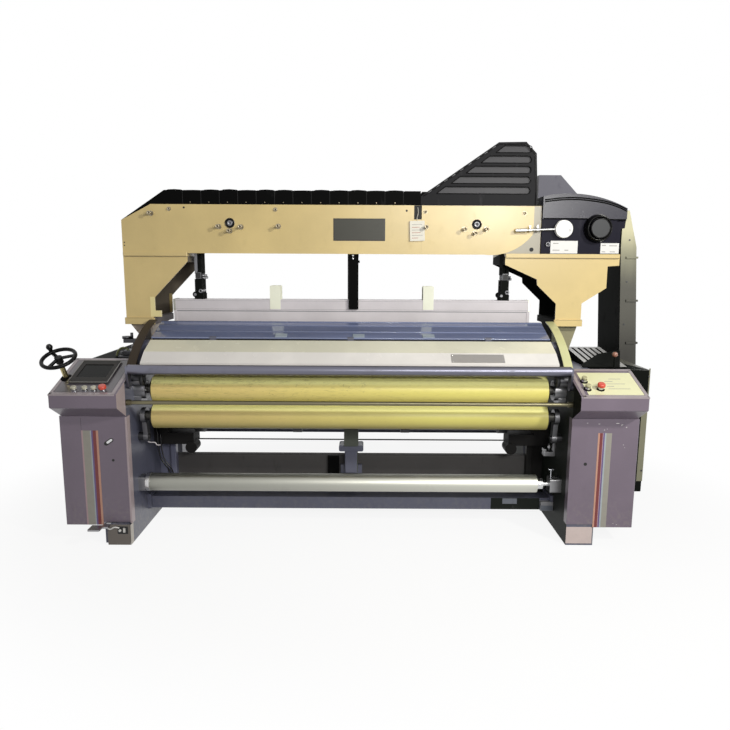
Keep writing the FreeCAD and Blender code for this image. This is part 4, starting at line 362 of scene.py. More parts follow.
def make_finishes():
    """Every finish of the loom, by name."""
    p = paint()
    oil, drawn, fine = (0.030, 0.026, 0.022), (1, 20, 20), (1, 60, 60)
    FINISHES.update({
        # ---- colour, roughness, clear coat, smudges, orange peel, dust near the floor, specular level
        "cream": sprayed("cream_paint", p.cream, 0.36, 0.30, 0.16),
        # lit and shaded copies of the cream: painted shade and painted highlight
        "cream_shade": sprayed("cream_paint_shaded", shade(p.cream, 0.82), 0.42, 0.15, 0.45),
        "cream_lit": sprayed("cream_paint_lit", (0.86, 0.74, 0.36), 0.36, 0.30, 0.10),
        "purple_grey": sprayed("purple_grey_paint", p.purple_grey, 0.38, 0.30, 0.35, 0.05, 0.45),
        "purple_dull": sprayed("post_inner_purple_shade", (0.125, 0.105, 0.105), 0.5, 0.0, 0.5, 0.05, 0.0, 0.1),
        # pale pink: painted light on inner sides that are lit
        "box_inner_pale": sprayed("box_inner_lit_pink", (0.42, 0.34, 0.36), 0.40, 0.2, 0.45),
        "rim": sprayed("rim_paint", p.rim, 0.32, 0.45, 0.25),
        "panel": sprayed("panel_paint", p.panel, 0.30, 0.35, 0.25),
        "blue_grey": sprayed("blue_grey_paint", p.blue_grey, 0.40, 0.25, 0.55, 0.10, 0.5),
        "blue_beam": sprayed("cross_beam_paint", shade(p.blue_grey, 1.2), 0.40, 0.25, 0.35, 0.06, 0.25),
        "blue_pale": sprayed("bracket_plate_paint", shade(p.blue_grey, 1.7), 0.42, 0.2, 0.45, 0.08, 0.3),
        "gear_blue": sprayed("gear_blue_grey", (0.16, 0.175, 0.21), 0.38, 0.2, 0.6),
        "dark": sprayed("dark_paint", p.dark, 0.5, 0.0, 0.5, 0.10, 0.0, 0.06),
        "beam_dark": sprayed("middle_beam_paint", shade(p.dark, 4.2), 0.5, 0.0, 0.5, 0.10, 0.0, 0.08),
        "column": sprayed("column_paint", (0.11, 0.12, 0.103), 0.45, 0.0, 0.5, 0.10, 0.0, 0.15),
        # black paint, also laid as painted shade on inner sides that lie in shadow
        "frame_black": sprayed("oily_black_and_painted_shade", (0.008, 0.009, 0.008), 0.6, 0.0, 0.6, 0.10, 0.0, 0.02),
        "post_inner": sprayed("shaded_brown_paint", (0.20, 0.172, 0.135), 0.6, 0.0, 0.6, 0.08, 0.0, 0.05),
        "foot_brown": sprayed("foot_brown_grey", (0.60, 0.50, 0.41), 0.45, 0.1, 0.6, 0.08, 0.0, 0.3),
        "foot_olive": sprayed("foot_olive_paint", (0.27, 0.25, 0.155), 0.42, 0.1, 0.5, 0.08, 0.0, 0.3),
        "foot_plate": sprayed("foot_plate_brown", (0.17, 0.150, 0.135), 0.45, 0.1, 0.6, 0.08, 0.0, 0.3),
        "bare_pale": sprayed("bare_pale_paint", (0.56, 0.52, 0.47), 0.45, 0.1, 0.5),
        "casing": sprayed("casing_paint", p.casing, 0.36, 0.25, 0.30, 0.05, 0.0, 0.35),
        "olive_strip": sprayed("olive_strip", (0.185, 0.180, 0.120), 0.40, 0.1, 0.4),
        "rib_pale": sprayed("rib_paint", (0.50, 0.50, 0.51), 0.40, 0.2, 0.3),
        "guard": sprayed("guard_paint", p.guard, 0.34, 0.4, 0.20),
        # the guard paint in painted shade, for the left guard
        "guard_left_shaded": sprayed("guard_paint_left_shaded", (0.050, 0.038, 0.028), 0.5, 0.0, 0.45, 0.05, 0.0, 0.1),
        "white": sprayed("white_paint", p.white, 0.24, 0.4, 0.07, 0.02),
        # the breast cover's upper facet: painted light, paler and warmer where the light falls
        "white_lit_top": sprayed("white_paint_upper_lit", toward(p.white, (0.88, 0.87, 0.68), 0.7), 0.24, 0.4, 0.07,
                              0.02),
        "pad": sprayed("pad_plastic", (0.90, 0.91, 0.76), 0.5, 0.1, 0.12),
        "rail": sprayed("anodised_rail", (0.67, 0.63, 0.66), 0.30, 0.3, 0.05, 0.02),
        "plate_dark": sprayed("dark_plate", (0.050, 0.049, 0.039), 0.34, 0.0, 0.25, 0.05, 0.0, 0.3),
        "bezel": sprayed("bezel_plastic", (0.032, 0.030, 0.028), 0.45, 0.0, 0.2, 0.05, 0.0, 0.10),
        "bezel_edge": sprayed("bezel_edge", (0.15, 0.14, 0.13), 0.35, 0.2, 0.2),
        "beige_grey": sprayed("beige_grey_plate", (0.36, 0.33, 0.26), 0.4, 0.2, 0.3),
        "olive": sprayed("olive_brass", (0.16, 0.17, 0.06), 0.35, 0.3, 0.4),
        "tall_lit_top": lit_top_paint("tall_guard_paint"),
        # ---- colour, coarseness, height of the axis, start of the painted highlight on top, painted shade of the underside
        "yellow": gritty("take_up_covering", p.yellow, 1.0, TAKE_UP[1] / 1000, 0.026, 0.66),
        "yellow_smooth": gritty("press_covering", shade(p.yellow, 0.66), 0.25, PRESS_Z / 1000, 0.030, 0.86),
        "shield": tinted("tinted_shield", p.shield),
        # ---- colour, roughness, clear coat, grain, scuffs, specular level
        "black": moulded("black_plastic", p.black, 0.45, 0.0, 0.14, 0.12, 0.02),
        "black_gloss": moulded("glossy_black_plastic", p.black, 0.22, 0.0, 0.02, 0.10, 0.12),
        "louvre": moulded("louvre_plastic", p.louvre, 0.44, 0.0, 0.10, 0.25, 0.07),
        # painted glints: the louvres' bottoms paler than the cover
        "louvre_pocket": moulded("louvre_pocket_plastic", (0.042, 0.041, 0.047), 0.34, 0.0, 0.06, 0.25, 0.18),
        "dobby": moulded("dobby_plastic", p.dobby, 0.26, 0.0, 0.05, 0.25, 0.45),
        "dobby_low": moulded("dobby_lower_plastic", shade(p.dobby, 0.62), 0.36, 0.0, 0.05, 0.2, 0.06),
        "dobby_high": moulded("dobby_rear_plastic", (0.079, 0.077, 0.108), 0.36, 0.0, 0.05, 0.25, 0.25),
        "boss": moulded("boss_plastic", (0.042, 0.044, 0.048), 0.34, 0.0, 0.05, 0.2, 0.25),
        "red": moulded("red_plastic", p.red, 0.25, 0.3, 0.02, 0.1),
        "pale": moulded("pale_plastic", p.pale, 0.22, 0.4, 0.02, 0.15),
        "olive_cream": moulded("olive_cream_plastic", (0.44, 0.42, 0.25), 0.24, 0.3, 0.02, 0.15),
        "disc": moulded("disc_plastic", (0.84, 0.83, 0.81), 0.26, 0.3, 0.02, 0.25),
        "ball": moulded("copper_brown_knob", (0.30, 0.13, 0.085), 0.22, 0.3, 0.02, 0.2),
        "screen": moulded("dark_screen", (0.007, 0.008, 0.007), 0.20, 0.0, 0.0, 0.1, 0.07),
        "cable_black": moulded("cable_black", (0.006, 0.006, 0.008), 0.25, 0.0, 0.0, 0.1, 0.3),
        # black with smudges; on the right frame's inner side it is painted shade
        "smudged_shade_black": moulded("smudged_black_painted_shade", (0.019, 0.022, 0.019), 0.5, 0.0, 0.12, 0.55, 0.06),
        # ---- colour, roughness, stretch of the machining lines, oil marks and their colour
        "steel": metal("machined_steel", (0.34, 0.34, 0.35), 0.36),
        "steel_dark": metal("oiled_steel", (0.070, 0.070, 0.075), 0.42, drawn, 0.5, oil),
        "arm_steel": metal("press_arm_steel", (0.19, 0.19, 0.20), 0.34, drawn, 0.5, (0.05, 0.05, 0.05)),
        "bolt": metal("zinc_bolt", (0.33, 0.285, 0.205), 0.34, fine, 0.2, (0.20, 0.16, 0.11)),
        "bright": metal("bright_steel", (0.62, 0.62, 0.62), 0.22, fine, 0.12),
        "brass": metal("zinc_yellow_steel", (0.46, 0.40, 0.20), 0.30, (1, 40, 40), 0.3, (0.20, 0.16, 0.08)),
        "tube": metal("blue_grey_tube", (0.165, 0.165, 0.205), 0.34, (0.5, 30, 30), 0.35,
                      (0.10, 0.10, 0.11)),
        "guide": metal("guide_bar_steel", (0.165, 0.150, 0.095), 0.34, (0.5, 30, 30), 0.3,
                       (0.10, 0.09, 0.07)),
        "chrome": metal("chromed_steel", (0.55, 0.56, 0.60), 0.16, (0.5, 30, 30), 0.22, (0.22, 0.22, 0.25)),
        # the cloth roller: painted light, duller on the left and brighter on the right
        "aluminium": metal("bare_aluminium", (0.45, 0.45, 0.40), 0.41, (1.5, 90, 90), 0.16,
                           (0.30, 0.29, 0.26), (0.66, 1.34)),
        "ring_dark": metal("blackened_ring", (0.060, 0.058, 0.052), 0.40, drawn, 0.3, (0.03, 0.03, 0.03)),
        "plate_silver": metal("silver_plate", (0.42, 0.40, 0.38), 0.36, fine, 0.08),
        # ---- colour, roughness, clear coat, wear
        "panel_pale": printed("panel_plate", (0.80, 0.79, 0.50), 0.32, 0.2, 0.12),
        "label": printed("blank_label", (0.76, 0.75, 0.74), 0.45, 0.1, 0.15),
        "label_pink": printed("blank_floor_label", (0.60, 0.50, 0.48), 0.45, 0.1),
        "tag": printed("paper_tag", (0.84, 0.81, 0.72), 0.75, 0.0, 0.2),
        "ink": printed("print_grey", (0.36, 0.35, 0.34), 0.6),
        "ink_red": printed("print_red", (0.40, 0.10, 0.06), 0.5),
        "plate_frame": printed("plate_border", (0.018, 0.016, 0.014), 0.4),
        "hole": printed("hole_black", (0.004, 0.004, 0.004), 0.7),
        "seam": printed("seam_shadow", (0.16, 0.125, 0.075), 0.6),
        "stripe_tan": printed("stripe_tan", (0.52, 0.28, 0.20), 0.40, 0.1),
        "stripe_red": printed("stripe_red", (0.17, 0.030, 0.030), 0.40, 0.1),
        "stripe_lilac": printed("stripe_lilac", (0.13, 0.085, 0.22), 0.40, 0.1),
        "stripe_navy": printed("stripe_pale_blue", (0.36, 0.41, 0.44), 0.40, 0.1),
        "stripe_grey": printed("stripe_grey", (0.30, 0.285, 0.25), 0.40, 0.1),
        "stripe_pink": printed("stripe_pink", (0.42, 0.29, 0.31), 0.40, 0.1),
        "clear_clip": printed("clear_clip", (0.36, 0.42, 0.50), 0.2, 0.4),
        "rubber": printed("black_rubber", (0.008, 0.008, 0.009), 0.6),
        "cable_grey": printed("cable_grey", (0.30, 0.30, 0.32), 0.5),
    })


# ================================================================ mesh tools
def into_scene(name, data):
    """A new object of the scene."""
    made = bpy.data.objects.new(name, data)
    bpy.context.scene.collection.objects.link(made)
    return made


@contextlib.contextmanager
def piece(name, finish, body="loom"):
    """A mesh to fill in a with block; at its end it is a finished piece that rides on a body."""
    source = bmesh.new()
    yield source
    mesh = bpy.data.meshes.new(name)
    source.to_mesh(mesh)
    source.free()
    for each in (finish if isinstance(finish, (list, tuple)) else [finish]):
        mesh.materials.append(FINISHES[each])
    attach(into_scene(name, mesh), body)


def set_faces(verts, index, smooth=False):
    """Give the faces round some new corners a finish, and smooth their four-sided ones if asked."""
    for face in {face for vert in verts for face in vert.link_faces}:
        face.material_index = index
        face.smooth = smooth and len(face.verts) == 4


def add_block(mesh, middle, spin, size, bevel, index):
    """A box about a middle, turned by spin, with bevelled edges if asked."""
    made = bmesh.ops.create_cube(mesh, size=1.0)["verts"]
    scale = Matrix.Diagonal((*(abs(side) / 1000 for side in size), 1))
    bmesh.ops.transform(mesh, matrix=Matrix.Translation(middle) @ spin @ scale, verts=made)
    set_faces(made, index)
    if bevel:
        edges = list(dict.fromkeys(edge for vert in made for edge in vert.link_edges))
        bmesh.ops.bevel(mesh, geom=edges, offset=bevel / 1000, segments=2, profile=0.7, affect="EDGES")


def add_box(mesh, x0, x1, y0, y1, z0, z1, bevel=0.0, index=0, turn=Matrix.Identity(4)):
    """A box of the loom's frame, turned about its middle if asked."""
    middle = at((x0 + x1) / 2, (y0 + y1) / 2, (z0 + z1) / 2)
    add_block(mesh, middle, turn, (x1 - x0, y1 - y0, z1 - z0), bevel, index)


def add_rod(mesh, radius, start, end, sides=24, index=0, taper=1.0, smooth=True):
    """A round bar between two points of the loom's frame."""
    a, b = at(*start), at(*end)
    made = bmesh.ops.create_cone(mesh, cap_ends=True, segments=sides, radius1=radius / 1000,
                                 radius2=radius * taper / 1000, depth=(b - a).length)["verts"]
    spin = (b - a).to_track_quat("Z", "Y").to_matrix().to_4x4()
    bmesh.ops.transform(mesh, matrix=Matrix.Translation((a + b) / 2) @ spin, verts=made)
    set_faces(made, index, smooth)


def add_nut(mesh, radius, start, end):
    """A hexagon bar with flat sides."""
    add_rod(mesh, radius, start, end, 6, smooth=False)


def add_stud(mesh, radius, x, z, y, reach, index=0, sides=24):
    """A disc or stud that stands out from a plane y towards the front."""
    add_rod(mesh, radius, (x, y, z), (x, y - reach, z), sides, index)


def close_faces(mesh, faces, index, smooth=lambda face: False):
    """Turn new faces outwards and give them their finish."""
    bmesh.ops.recalc_face_normals(mesh, faces=faces)
    for face in faces:
        face.material_index = index
        face.smooth = smooth(face)


def add_lathe(mesh, profile, start, along, sides=32, index=0, smooth=True):
    """A closed profile of (distance along, radius) turned about a line of the loom's frame."""
    base = at(*start)
    spin = Vector(along).to_track_quat("Z", "Y").to_matrix()
    angles = [2 * math.pi * step / sides for step in range(sides)]
    rings = []
    for reach, radius in profile:
        ring = (Vector((radius * math.cos(angle) / 1000, radius * math.sin(angle) / 1000, reach / 1000))
                for angle in angles)
        rings.append([mesh.verts.new(base + spin @ corner) for corner in ring])
    faces = []
    for row, ring in enumerate(rings):
        following = rings[(row + 1) % len(rings)]
        for step in range(sides):
            nxt = (step + 1) % sides
            faces.append(mesh.faces.new((ring[step], ring[nxt], following[nxt], following[step])))
    close_faces(mesh, faces, index, lambda face: smooth)


def add_prism(mesh, front, back, index=0):
    """A closed block between two like outlines of points of the loom's frame."""
    front, back = ([mesh.verts.new(at(*point)) for point in outline] for outline in (front, back))
    faces = [mesh.faces.new(front), mesh.faces.new(list(reversed(back)))]
    for step in range(len(front)):
        nxt = (step + 1) % len(front)
        faces.append(mesh.faces.new((front[nxt], front[step], back[step], back[nxt])))
    close_faces(mesh, faces, index)


def add_plate(mesh, outline, y, thick, index=0):
    """A flat plate with an outline of (x, z) that stands out from a plane y towards the front."""
    add_prism(mesh, [(x, y - thick, z) for x, z in outline], [(x, y, z) for x, z in outline], index)


def on_panel(side_x, up, out):
    """A point of a control box's sloping top: x, distance up the slope, height above it."""
    y = up * math.cos(BOX_SLOPE) - out * math.sin(BOX_SLOPE)
    z = BOX_LIP + up * math.sin(BOX_SLOPE) + out * math.cos(BOX_SLOPE)
    return side_x, y, z


def add_panel_box(mesh, x0, x1, up0, up1, out0, out1, bevel=0.0, index=0):
    """A box laid on a control box's sloping top."""
    middle = at(*on_panel((x0 + x1) / 2, (up0 + up1) / 2, (out0 + out1) / 2))
    spin = Matrix.Rotation(BOX_SLOPE, 4, "X")
    add_block(mesh, middle, spin, (x1 - x0, up1 - up0, out1 - out0), bevel, index)


def smooth_path(points, steps):
    """Points in metres along a smooth curve through points of the loom's frame."""
    ends = [points[0], *points, points[-1]]
    path = []
    for row in range(1, len(ends) - 2):
        p0, p1, p2, p3 = (at(*ends[row + shift]) for shift in (-1, 0, 1, 2))
        for step in range(steps):
            t = step / steps
            path.append(0.5 * ((2 * p1) + (p2 - p0) * t + (2 * p0 - 5 * p1 + 4 * p2 - p3) * t ** 2
                               + (3 * p1 - p0 - 3 * p2 + p3) * t ** 3))
    path.append(at(*points[-1]))
    return path


def add_tube(mesh, points, radius, sides=10, index=0, steps=8):
    """A bent wire or hose through points of the loom's frame, smoothed between them."""
    path = smooth_path(points, steps)
    rings = []
    side = Vector((0, 0, 1))
    for row, where in enumerate(path):
        ahead = path[min(row + 1, len(path) - 1)] - path[max(row - 1, 0)]
        ahead.normalize()
        side = side - ahead * side.dot(ahead)
        if side.length < 1e-4:
            side = ahead.orthogonal()
        side.normalize()
        other = ahead.cross(side)
        rings.append([mesh.verts.new(where + (side * math.cos(a) + other * math.sin(a)) * radius / 1000)
                      for a in (2 * math.pi * s / sides for s in range(sides))])
    faces = []
    for ring, following in zip(rings, rings[1:]):
        for step in range(sides):
            nxt = (step + 1) % sides
            faces.append(mesh.faces.new((ring[step], ring[nxt], following[nxt], following[step])))
    faces.append(mesh.faces.new(list(reversed(rings[0]))))
    faces.append(mesh.faces.new(rings[-1]))
    close_faces(mesh, faces, index, lambda face: len(face.verts) == 4)


# ================================================================ Geometry Nodes: rows of like pieces
def row_tree(name):
    """A tree that repeats its object's mesh along a line, with the identifiers of its named inputs."""
    tree = bpy.data.node_groups.new(name, "GeometryNodeTree")
    face = tree.interface
    face.new_socket("Geometry", in_out="INPUT", socket_type="NodeSocketGeometry")
    inputs = {kind: face.new_socket(kind, in_out="INPUT", socket_type=socket).identifier for kind, socket in
              (("Count", "NodeSocketInt"), ("Step", "NodeSocketVector"), ("Material", "NodeSocketMaterial"))}
    face.new_socket("Geometry", in_out="OUTPUT", socket_type="NodeSocketGeometry")
    entry, leave, line, points, real, cover = (tree.nodes.new(kind) for kind in (
        "NodeGroupInput", "NodeGroupOutput", "GeometryNodeMeshLine", "GeometryNodeInstanceOnPoints",
        "GeometryNodeRealizeInstances", "GeometryNodeSetMaterial"))
    line.mode = "OFFSET"
    for start, output, end, socket in (
            (entry, "Count", line, "Count"), (entry, "Step", line, "Offset"),
            (line, "Mesh", points, "Points"), (entry, "Geometry", points, "Instance"),
            (points, "Instances", real, "Geometry"), (real, "Geometry", cover, "Geometry"),
            (entry, "Material", cover, "Material"), (cover, "Geometry", leave, "Geometry")):
        tree.links.new(start.outputs[output], end.inputs[socket])
    return tree, inputs


def repeat(name, source, count, step, finish):
    """Repeat a small mesh along a line by Geometry Nodes and keep the result as a plain mesh."""
    mesh = bpy.data.meshes.new(name + "_unit")
    source.to_mesh(mesh)
    source.free()
    unit = into_scene(name + "_unit", mesh)
    tree, inputs = row_tree(name + "_row")
    rule = unit.modifiers.new("row", "NODES")
    rule.node_group = tree
    for kind, value in (("Count", count), ("Step", step), ("Material", FINISHES[finish])):
        rule[inputs[kind]] = value
    bpy.context.view_layer.update()
    ready = unit.evaluated_get(bpy.context.evaluated_depsgraph_get())
    result = bpy.data.meshes.new_from_object(ready)
    unit.modifiers.remove(rule)
    bpy.data.objects.remove(unit)
    result.materials.clear()
    result.materials.append(FINISHES[finish])
    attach(into_scene(name, result), "loom")


# ================================================================ paint of the solids
PAINTED = {
    "cream": ("post_left", "post_right", "arch_beam", "beam_face_left", "beam_face_right", "post_feet"),
    "purple_grey": ("front_cover_left", "front_cover_right", "control_box_left", "control_box_right"),
    "blue_grey": ("side_frame_left", "side_frame_right", "breast_beam", "rear_cross_beam"),
    "blue_beam": ("front_cross_beam", "centre_column"),
    "dark": ("shaft_brackets",),
    "beam_dark": ("middle_beam",),
    "casing": ("drive_casing", "tall_guard"),
    "guard": ("side_guards",),
    "white": ("breast_cover",),
    "yellow": ("take_up_roller",),
    "yellow_smooth": ("press_roller",),
    "shield": ("splash_shield",),
    "black": ("beam_top_cover",),
    "louvre": ("louvre_cover",),
    "black_gloss": ("handwheel", "handwheel_knob"),
    "dobby": ("dobby_housing",),
    "red": ("left_stop_button", "right_stop_button"),
    "pale": ("left_button_1", "left_button_2", "left_button_3"),
    "olive_cream": ("right_button_1", "right_button_2"),
    "disc": ("level_lever",),
    "steel": ("back_rest_roller", "lift_levers_left_odd", "lift_levers_left_even",
              "lift_levers_right_odd", "lift_levers_right_even", "reed", "pedal"),
    "arm_steel": ("press_arms",),
    "brass": ("handwheel_shaft",),
    "steel_dark": ("sley", "roller_bearings"),
    "tube": ("front_tube",),
    "guide": ("guide_bar",),
    "chrome": ("cloth_roller_latch", "button_collars"),
    "aluminium": ("cloth_roller",),
    "frame_black": ("ball_lever", "gear_casing"),
    "rail": ("heald_frames_odd", "heald_frames_even"),
    "bezel": ("operator_screen",),
}


def sunk(m, n):
    """True for the glass at the bottom of the screen's recess."""
    return n.z > 0.5 and m.z - (BOX_LIP + m.y * math.tan(BOX_SLOPE)) < GLASS_LEVEL


def pad(m, n):
    """True for the guide pads over the rails, and for their plates a little before each frame."""
    before_frame = (m.y - 651.5) % HEALD_PITCH < 3.0 and n.y < -0.9 and m.z > 1222
    return 415 < abs(m.x) < 488 and (m.z > 1281 or before_frame)


HEALD_FRAMES = ("heald_frames_odd", "heald_frames_even")

# Nodes, finish, and a test on a face's middle (millimetres) and normal; later rows win.
SECOND_FINISHES = (
    # posts: inner sides in painted shade, brown and purple on the left, black on the right;
    # feet: brown left, olive right, the right one's inner side black as painted shade, their bolts' steel
    # below
    (("post_left",), "post_inner", lambda m, n: m.y > BEHIND_WALL and n.x > -0.5 and m.z < BEAM_UNDER),
    (("post_left",), "purple_dull", lambda m, n: m.y > BEHIND_WALL and n.x > 0.5 and m.z < 1400),
    (("post_right",), "frame_black", lambda m, n: m.y > BEHIND_WALL and n.x < 0.5 and m.z < BEAM_UNDER),
    (("post_feet",), "foot_brown", lambda m, n: m.x < 0),
    (("post_feet",), "foot_olive", lambda m, n: m.x > 0),
    (("post_feet",), "frame_black", lambda m, n: m.x > 0 and n.x < -0.3),
    (("post_feet",), "steel", lambda m, n: m.z < 960),
    # covers and casings
    # the left side guard: painted shade, dark where it lies in shadow
    (("side_guards",), "guard_left_shaded", lambda m, n: m.x < 0),
    # painted light on the breast cover's upper facet
    (("breast_cover",), "white_lit_top", lambda m, n: m.z > 1022),
    (("tall_guard",), "tall_lit_top", lambda m, n: True),
    # the tall guard's inner side: black as painted shade
    (("tall_guard",), "frame_black", lambda m, n: n.x < -0.8),
    (("drive_casing",), "frame_black", lambda m, n: m.x < 1590 or n.y < -0.5),
    # the casing's undersides darker as painted shade, the tops of its ribs paler as painted light
    (("drive_casing",), "dark", lambda m, n: n.z < -0.3),
    (("drive_casing",), "rib_pale", lambda m, n: n.z > 0.7 and m.z > 925),
    (("ball_lever",), "ball", lambda m, n: m.z > 992),
    (("operator_screen",), "screen", sunk),
    (("level_lever",), "bright", lambda m, n: m.x < 1148 or m.y < 568),
    # inner sides of the right frame and of the right box: painted shade, black for the shadow they lie in,
    # the frame's with smudges;
    # the left box's inner side: painted light, pale pink where it is lit
    (("side_frame_right",), "smudged_shade_black", lambda m, n: m.x < 1166),
    (("control_box_right",), "frame_black", lambda m, n: m.x < 1163),
    (("control_box_left",), "box_inner_pale", lambda m, n: m.x > -1163),
    (("shaft_brackets",), "blue_pale", lambda m, n: m.x < -1060 and m.z < 429 and n.z > -0.5),
    # bottoms of the louvres, paler as painted glints; lower front and rear hump of the dobby
    (("louvre_cover",), "louvre_pocket", lambda m, n: 586 < m.y < 601),
    (("dobby_housing",), "dobby_low", lambda m, n: m.z < 1746 and m.y < 590),
    (("dobby_housing",), "dobby_high", lambda m, n: m.z > 1880 or m.y > 790),
    # lift links, their forks and the pads of the heald frames; rubber of the centre guide
    (HEALD_FRAMES, "frame_black", lambda m, n: m.z > 1281 and 850 < abs(m.x) < 950),
    (HEALD_FRAMES, "arm_steel", lambda m, n: m.z > 1450 and -930 < m.x < -898 and n.y < -0.5),
    (HEALD_FRAMES, "pad", pad),
    (("arch_beam",), "rubber", lambda m, n: abs(m.x) < 28.5 and m.z < 1552 and 740 < m.y < 775),
    # rings, journals and bearings of the rollers; the column's post
    (("take_up_roller", "press_roller"), "ring_dark", lambda m, n: abs(m.x) > 1064),
    (("centre_column",), "column", lambda m, n: m.z > 425 or n.x > 0.5),
    (("cloth_roller",), "bright", lambda m, n: m.x > 1033 or m.x < -1102),
    (("roller_bearings",), "steel", lambda m, n: 735 < m.z < 872 or m.z < 340),
)


def second_finish(node, finish, test):
    """Give a second finish to the faces of a solid whose middle and direction pass a test."""
    mesh = NODES[node].data
    mesh.materials.append(FINISHES[finish])
    index = len(mesh.materials) - 1
    for face in mesh.polygons:
        if test((face.center - SHIFT) * 1000, face.normal):
            face.material_index = index


class LOOM_OT_paint_solids(bpy.types.Operator):
    """Paints every solid of the loom"""
    bl_idname = "loom.paint_solids"
    bl_label = "Paint the solids"

    def execute(self, context):
        make_finishes()
        for finish, names in PAINTED.items():
            for name in names:
                NODES[name].data.materials.clear()
                NODES[name].data.materials.append(FINISHES[finish])
        for names, finish, test in SECOND_FINISHES:
            for name in names:
                second_finish(name, finish, test)
        return {"FINISHED"}


# ================================================================ arch beam
BEAM_SCREWS = ((-1139, 1768), (-1036, 1793), (-755, 1696), (-694, 1672), (-629, 1694), (-432, 1792),
               (-416, 1699), (419, 1784), (423, 1698), (641, 1688), (701, 1665), (764, 1688), (982, 1779))
UPPER_SCREWS = 1775       # the screws over this height are small, and the levelling lever passes over them
BEAM_RINGS = ((-693, 1716), (712, 1715))
RING_PARTS = (            # profile, sides and finish of each part of an inspection ring
    (((0, 27), (-5, 27), (-6.5, 25), (-5, 18), (0, 18)), 40, 0),
    (((0, 28.6), (-1.5, 28.6), (-1.5, 27), (0, 27)), 40, 1),
    (((0, 16), (-2.6, 16), (-3.4, 14), (-3.4, 7), (-1.4, 6), (-1.4, 0.01), (0, 0.01)), 32, 2),
)
BEAM_HOLES = ((-951, 1801, 5.5), (312, 1789, 6), (-1299, 1588, 3.5), (-1298, 1605, 3.5))      # x, z, radius
# x and z of the painted shadow lines under the beam's and the posts' flanges
FLANGE_SHADOW_LINES = ((-1302, -944, 1526.5, 1528.5), (890, 1530, 1526.5, 1528.5),
                (-1305, -1160, 1172.5, 1174.3), (1186, 1335, 1172.5, 1174.3))


def add_cap_screw(mesh, x, z, radius, reach):
    """A cap screw that stands out from the beam on its shank, with a washer and a hexagon socket."""
    head = 9.0
    add_stud(mesh, radius * 1.3, x, z, FACE_Y, 2.0)
    add_stud(mesh, radius * 0.60, x, z, FACE_Y - 1.5, reach - head)
    add_lathe(mesh, ((0, radius), (7.6, radius), (head, radius * 0.86), (head, radius * 0.5),
                     (6, radius * 0.48), (6, 0.01), (0, 0.01)), (x, FACE_Y - reach + head, z), (0, -1, 0), 20)


class LOOM_OT_beam_fasteners(bpy.types.Operator):
    """Puts the cap screws, rings and small holes on the arch beam's face plates"""
    bl_idname = "loom.beam_fasteners"
    bl_label = "Beam fasteners"

    def execute(self, context):
        radius, reach = trim().screw_radius * 1000, trim().screw_reach * 1000
        with piece("beam_screws", "bolt") as mesh:
            for x, z in BEAM_SCREWS:
                thin, short = (0.8, 0.22) if z > UPPER_SCREWS else (1.0, 1.0)
                add_cap_screw(mesh, x, z, radius * thin, reach * short)
        with piece("beam_inspection_rings", ("black_gloss", "bolt", "arm_steel")) as mesh:
            for x, z in BEAM_RINGS:
                for profile, sides, index in RING_PARTS:
                    add_lathe(mesh, profile, (x, FACE_Y, z), BACK, sides, index)
        # black discs for the holes and the rings' bores: painted shade of their depth
        with piece("beam_holes", "hole") as mesh:
            for x, z in BEAM_RINGS:
                add_stud(mesh, 18.2, x, z, FACE_Y, 0.8)
            for x, z, wide in BEAM_HOLES:
                add_stud(mesh, wide, x, z, FACE_Y, 0.7)
            add_stud(mesh, 12, 1029, 1576, FACE_Y + 2.6, 0.9)
        with piece("flange_shadow_lines", "seam") as mesh:
            for x0, x1, z0, z1 in FLANGE_SHADOW_LINES:
                add_box(mesh, x0, x1, 585.2, 586.4, z0, z1)
        # lips of the left post's inner side: a painted highlight on the front edge, painted shade at the back
        with piece("post_inner_lips", ("cream_lit", "cream_shade")) as mesh:
            add_box(mesh, -1168, -1141, 593.4, 600, 1180.4, 1296)
            add_box(mesh, -1168, -1108, 593.2, 612, 1180.4, 1216)
            add_box(mesh, -1162, -1143, 938, 944, 1180.4, 1298, index=1)
        return {"FINISHED"}


TAG_BARS = (58, 44, 62, 50, 62, 36)      # lengths of the printed bars on the tag, from the top


class LOOM_OT_beam_plates(bpy.types.Operator):
    """Hangs the blank plate and the paper tag, and backs the split and the end of the beam's face"""
    bl_idname = "loom.beam_plates"
    bl_label = "Beam plates"

    def execute(self, context):
        with piece("beam_plate", ("plate_frame", "plate_dark")) as mesh:
            add_box(mesh, -104, 191, FACE_Y - 2.2, FACE_Y + 0.5, 1620, 1745, 1.2)
            add_box(mesh, -99, 186, FACE_Y - 3.0, FACE_Y - 2.0, 1625, 1740, 0.6, 1)
        with piece("beam_split_shadow", "hole") as mesh:
            add_box(mesh, 354.5, 397.5, 591.5, 595, 1741.5, 1818)
        with piece("paper_tag", ("tag", "ink", "ink_red")) as mesh:
            lean = Matrix.Rotation(math.radians(-2), 4, "Y")
            add_box(mesh, 331, 415, FACE_Y - 12, FACE_Y - 11.2, 1621, 1733, 0.25, turn=lean)
            for row, wide in enumerate(TAG_BARS):
                z = 1712 - row * 15
                add_box(mesh, 342, 342 + wide, FACE_Y - 12.3, FACE_Y - 11.9, z - 1.2, z + 1.2,
                        index=1 + row % 2, turn=lean)
            add_tube(mesh, ((374, FACE_Y - 11.6, 1728), (370, FACE_Y - 15, 1748), (377, FACE_Y - 8, 1776),
                            (375, FACE_Y + 1, 1808)), 1.2, 6)
        # painted shade: the beam's end behind the face's curve, beige-grey where it lies in shadow
        with piece("beam_end_backing", "beige_grey") as mesh:
            add_plate(mesh, ((722, 1553), (1077, 1553), (1077, 1817), (722, 1817)), 594, 1.4)
        return {"FINISHED"}


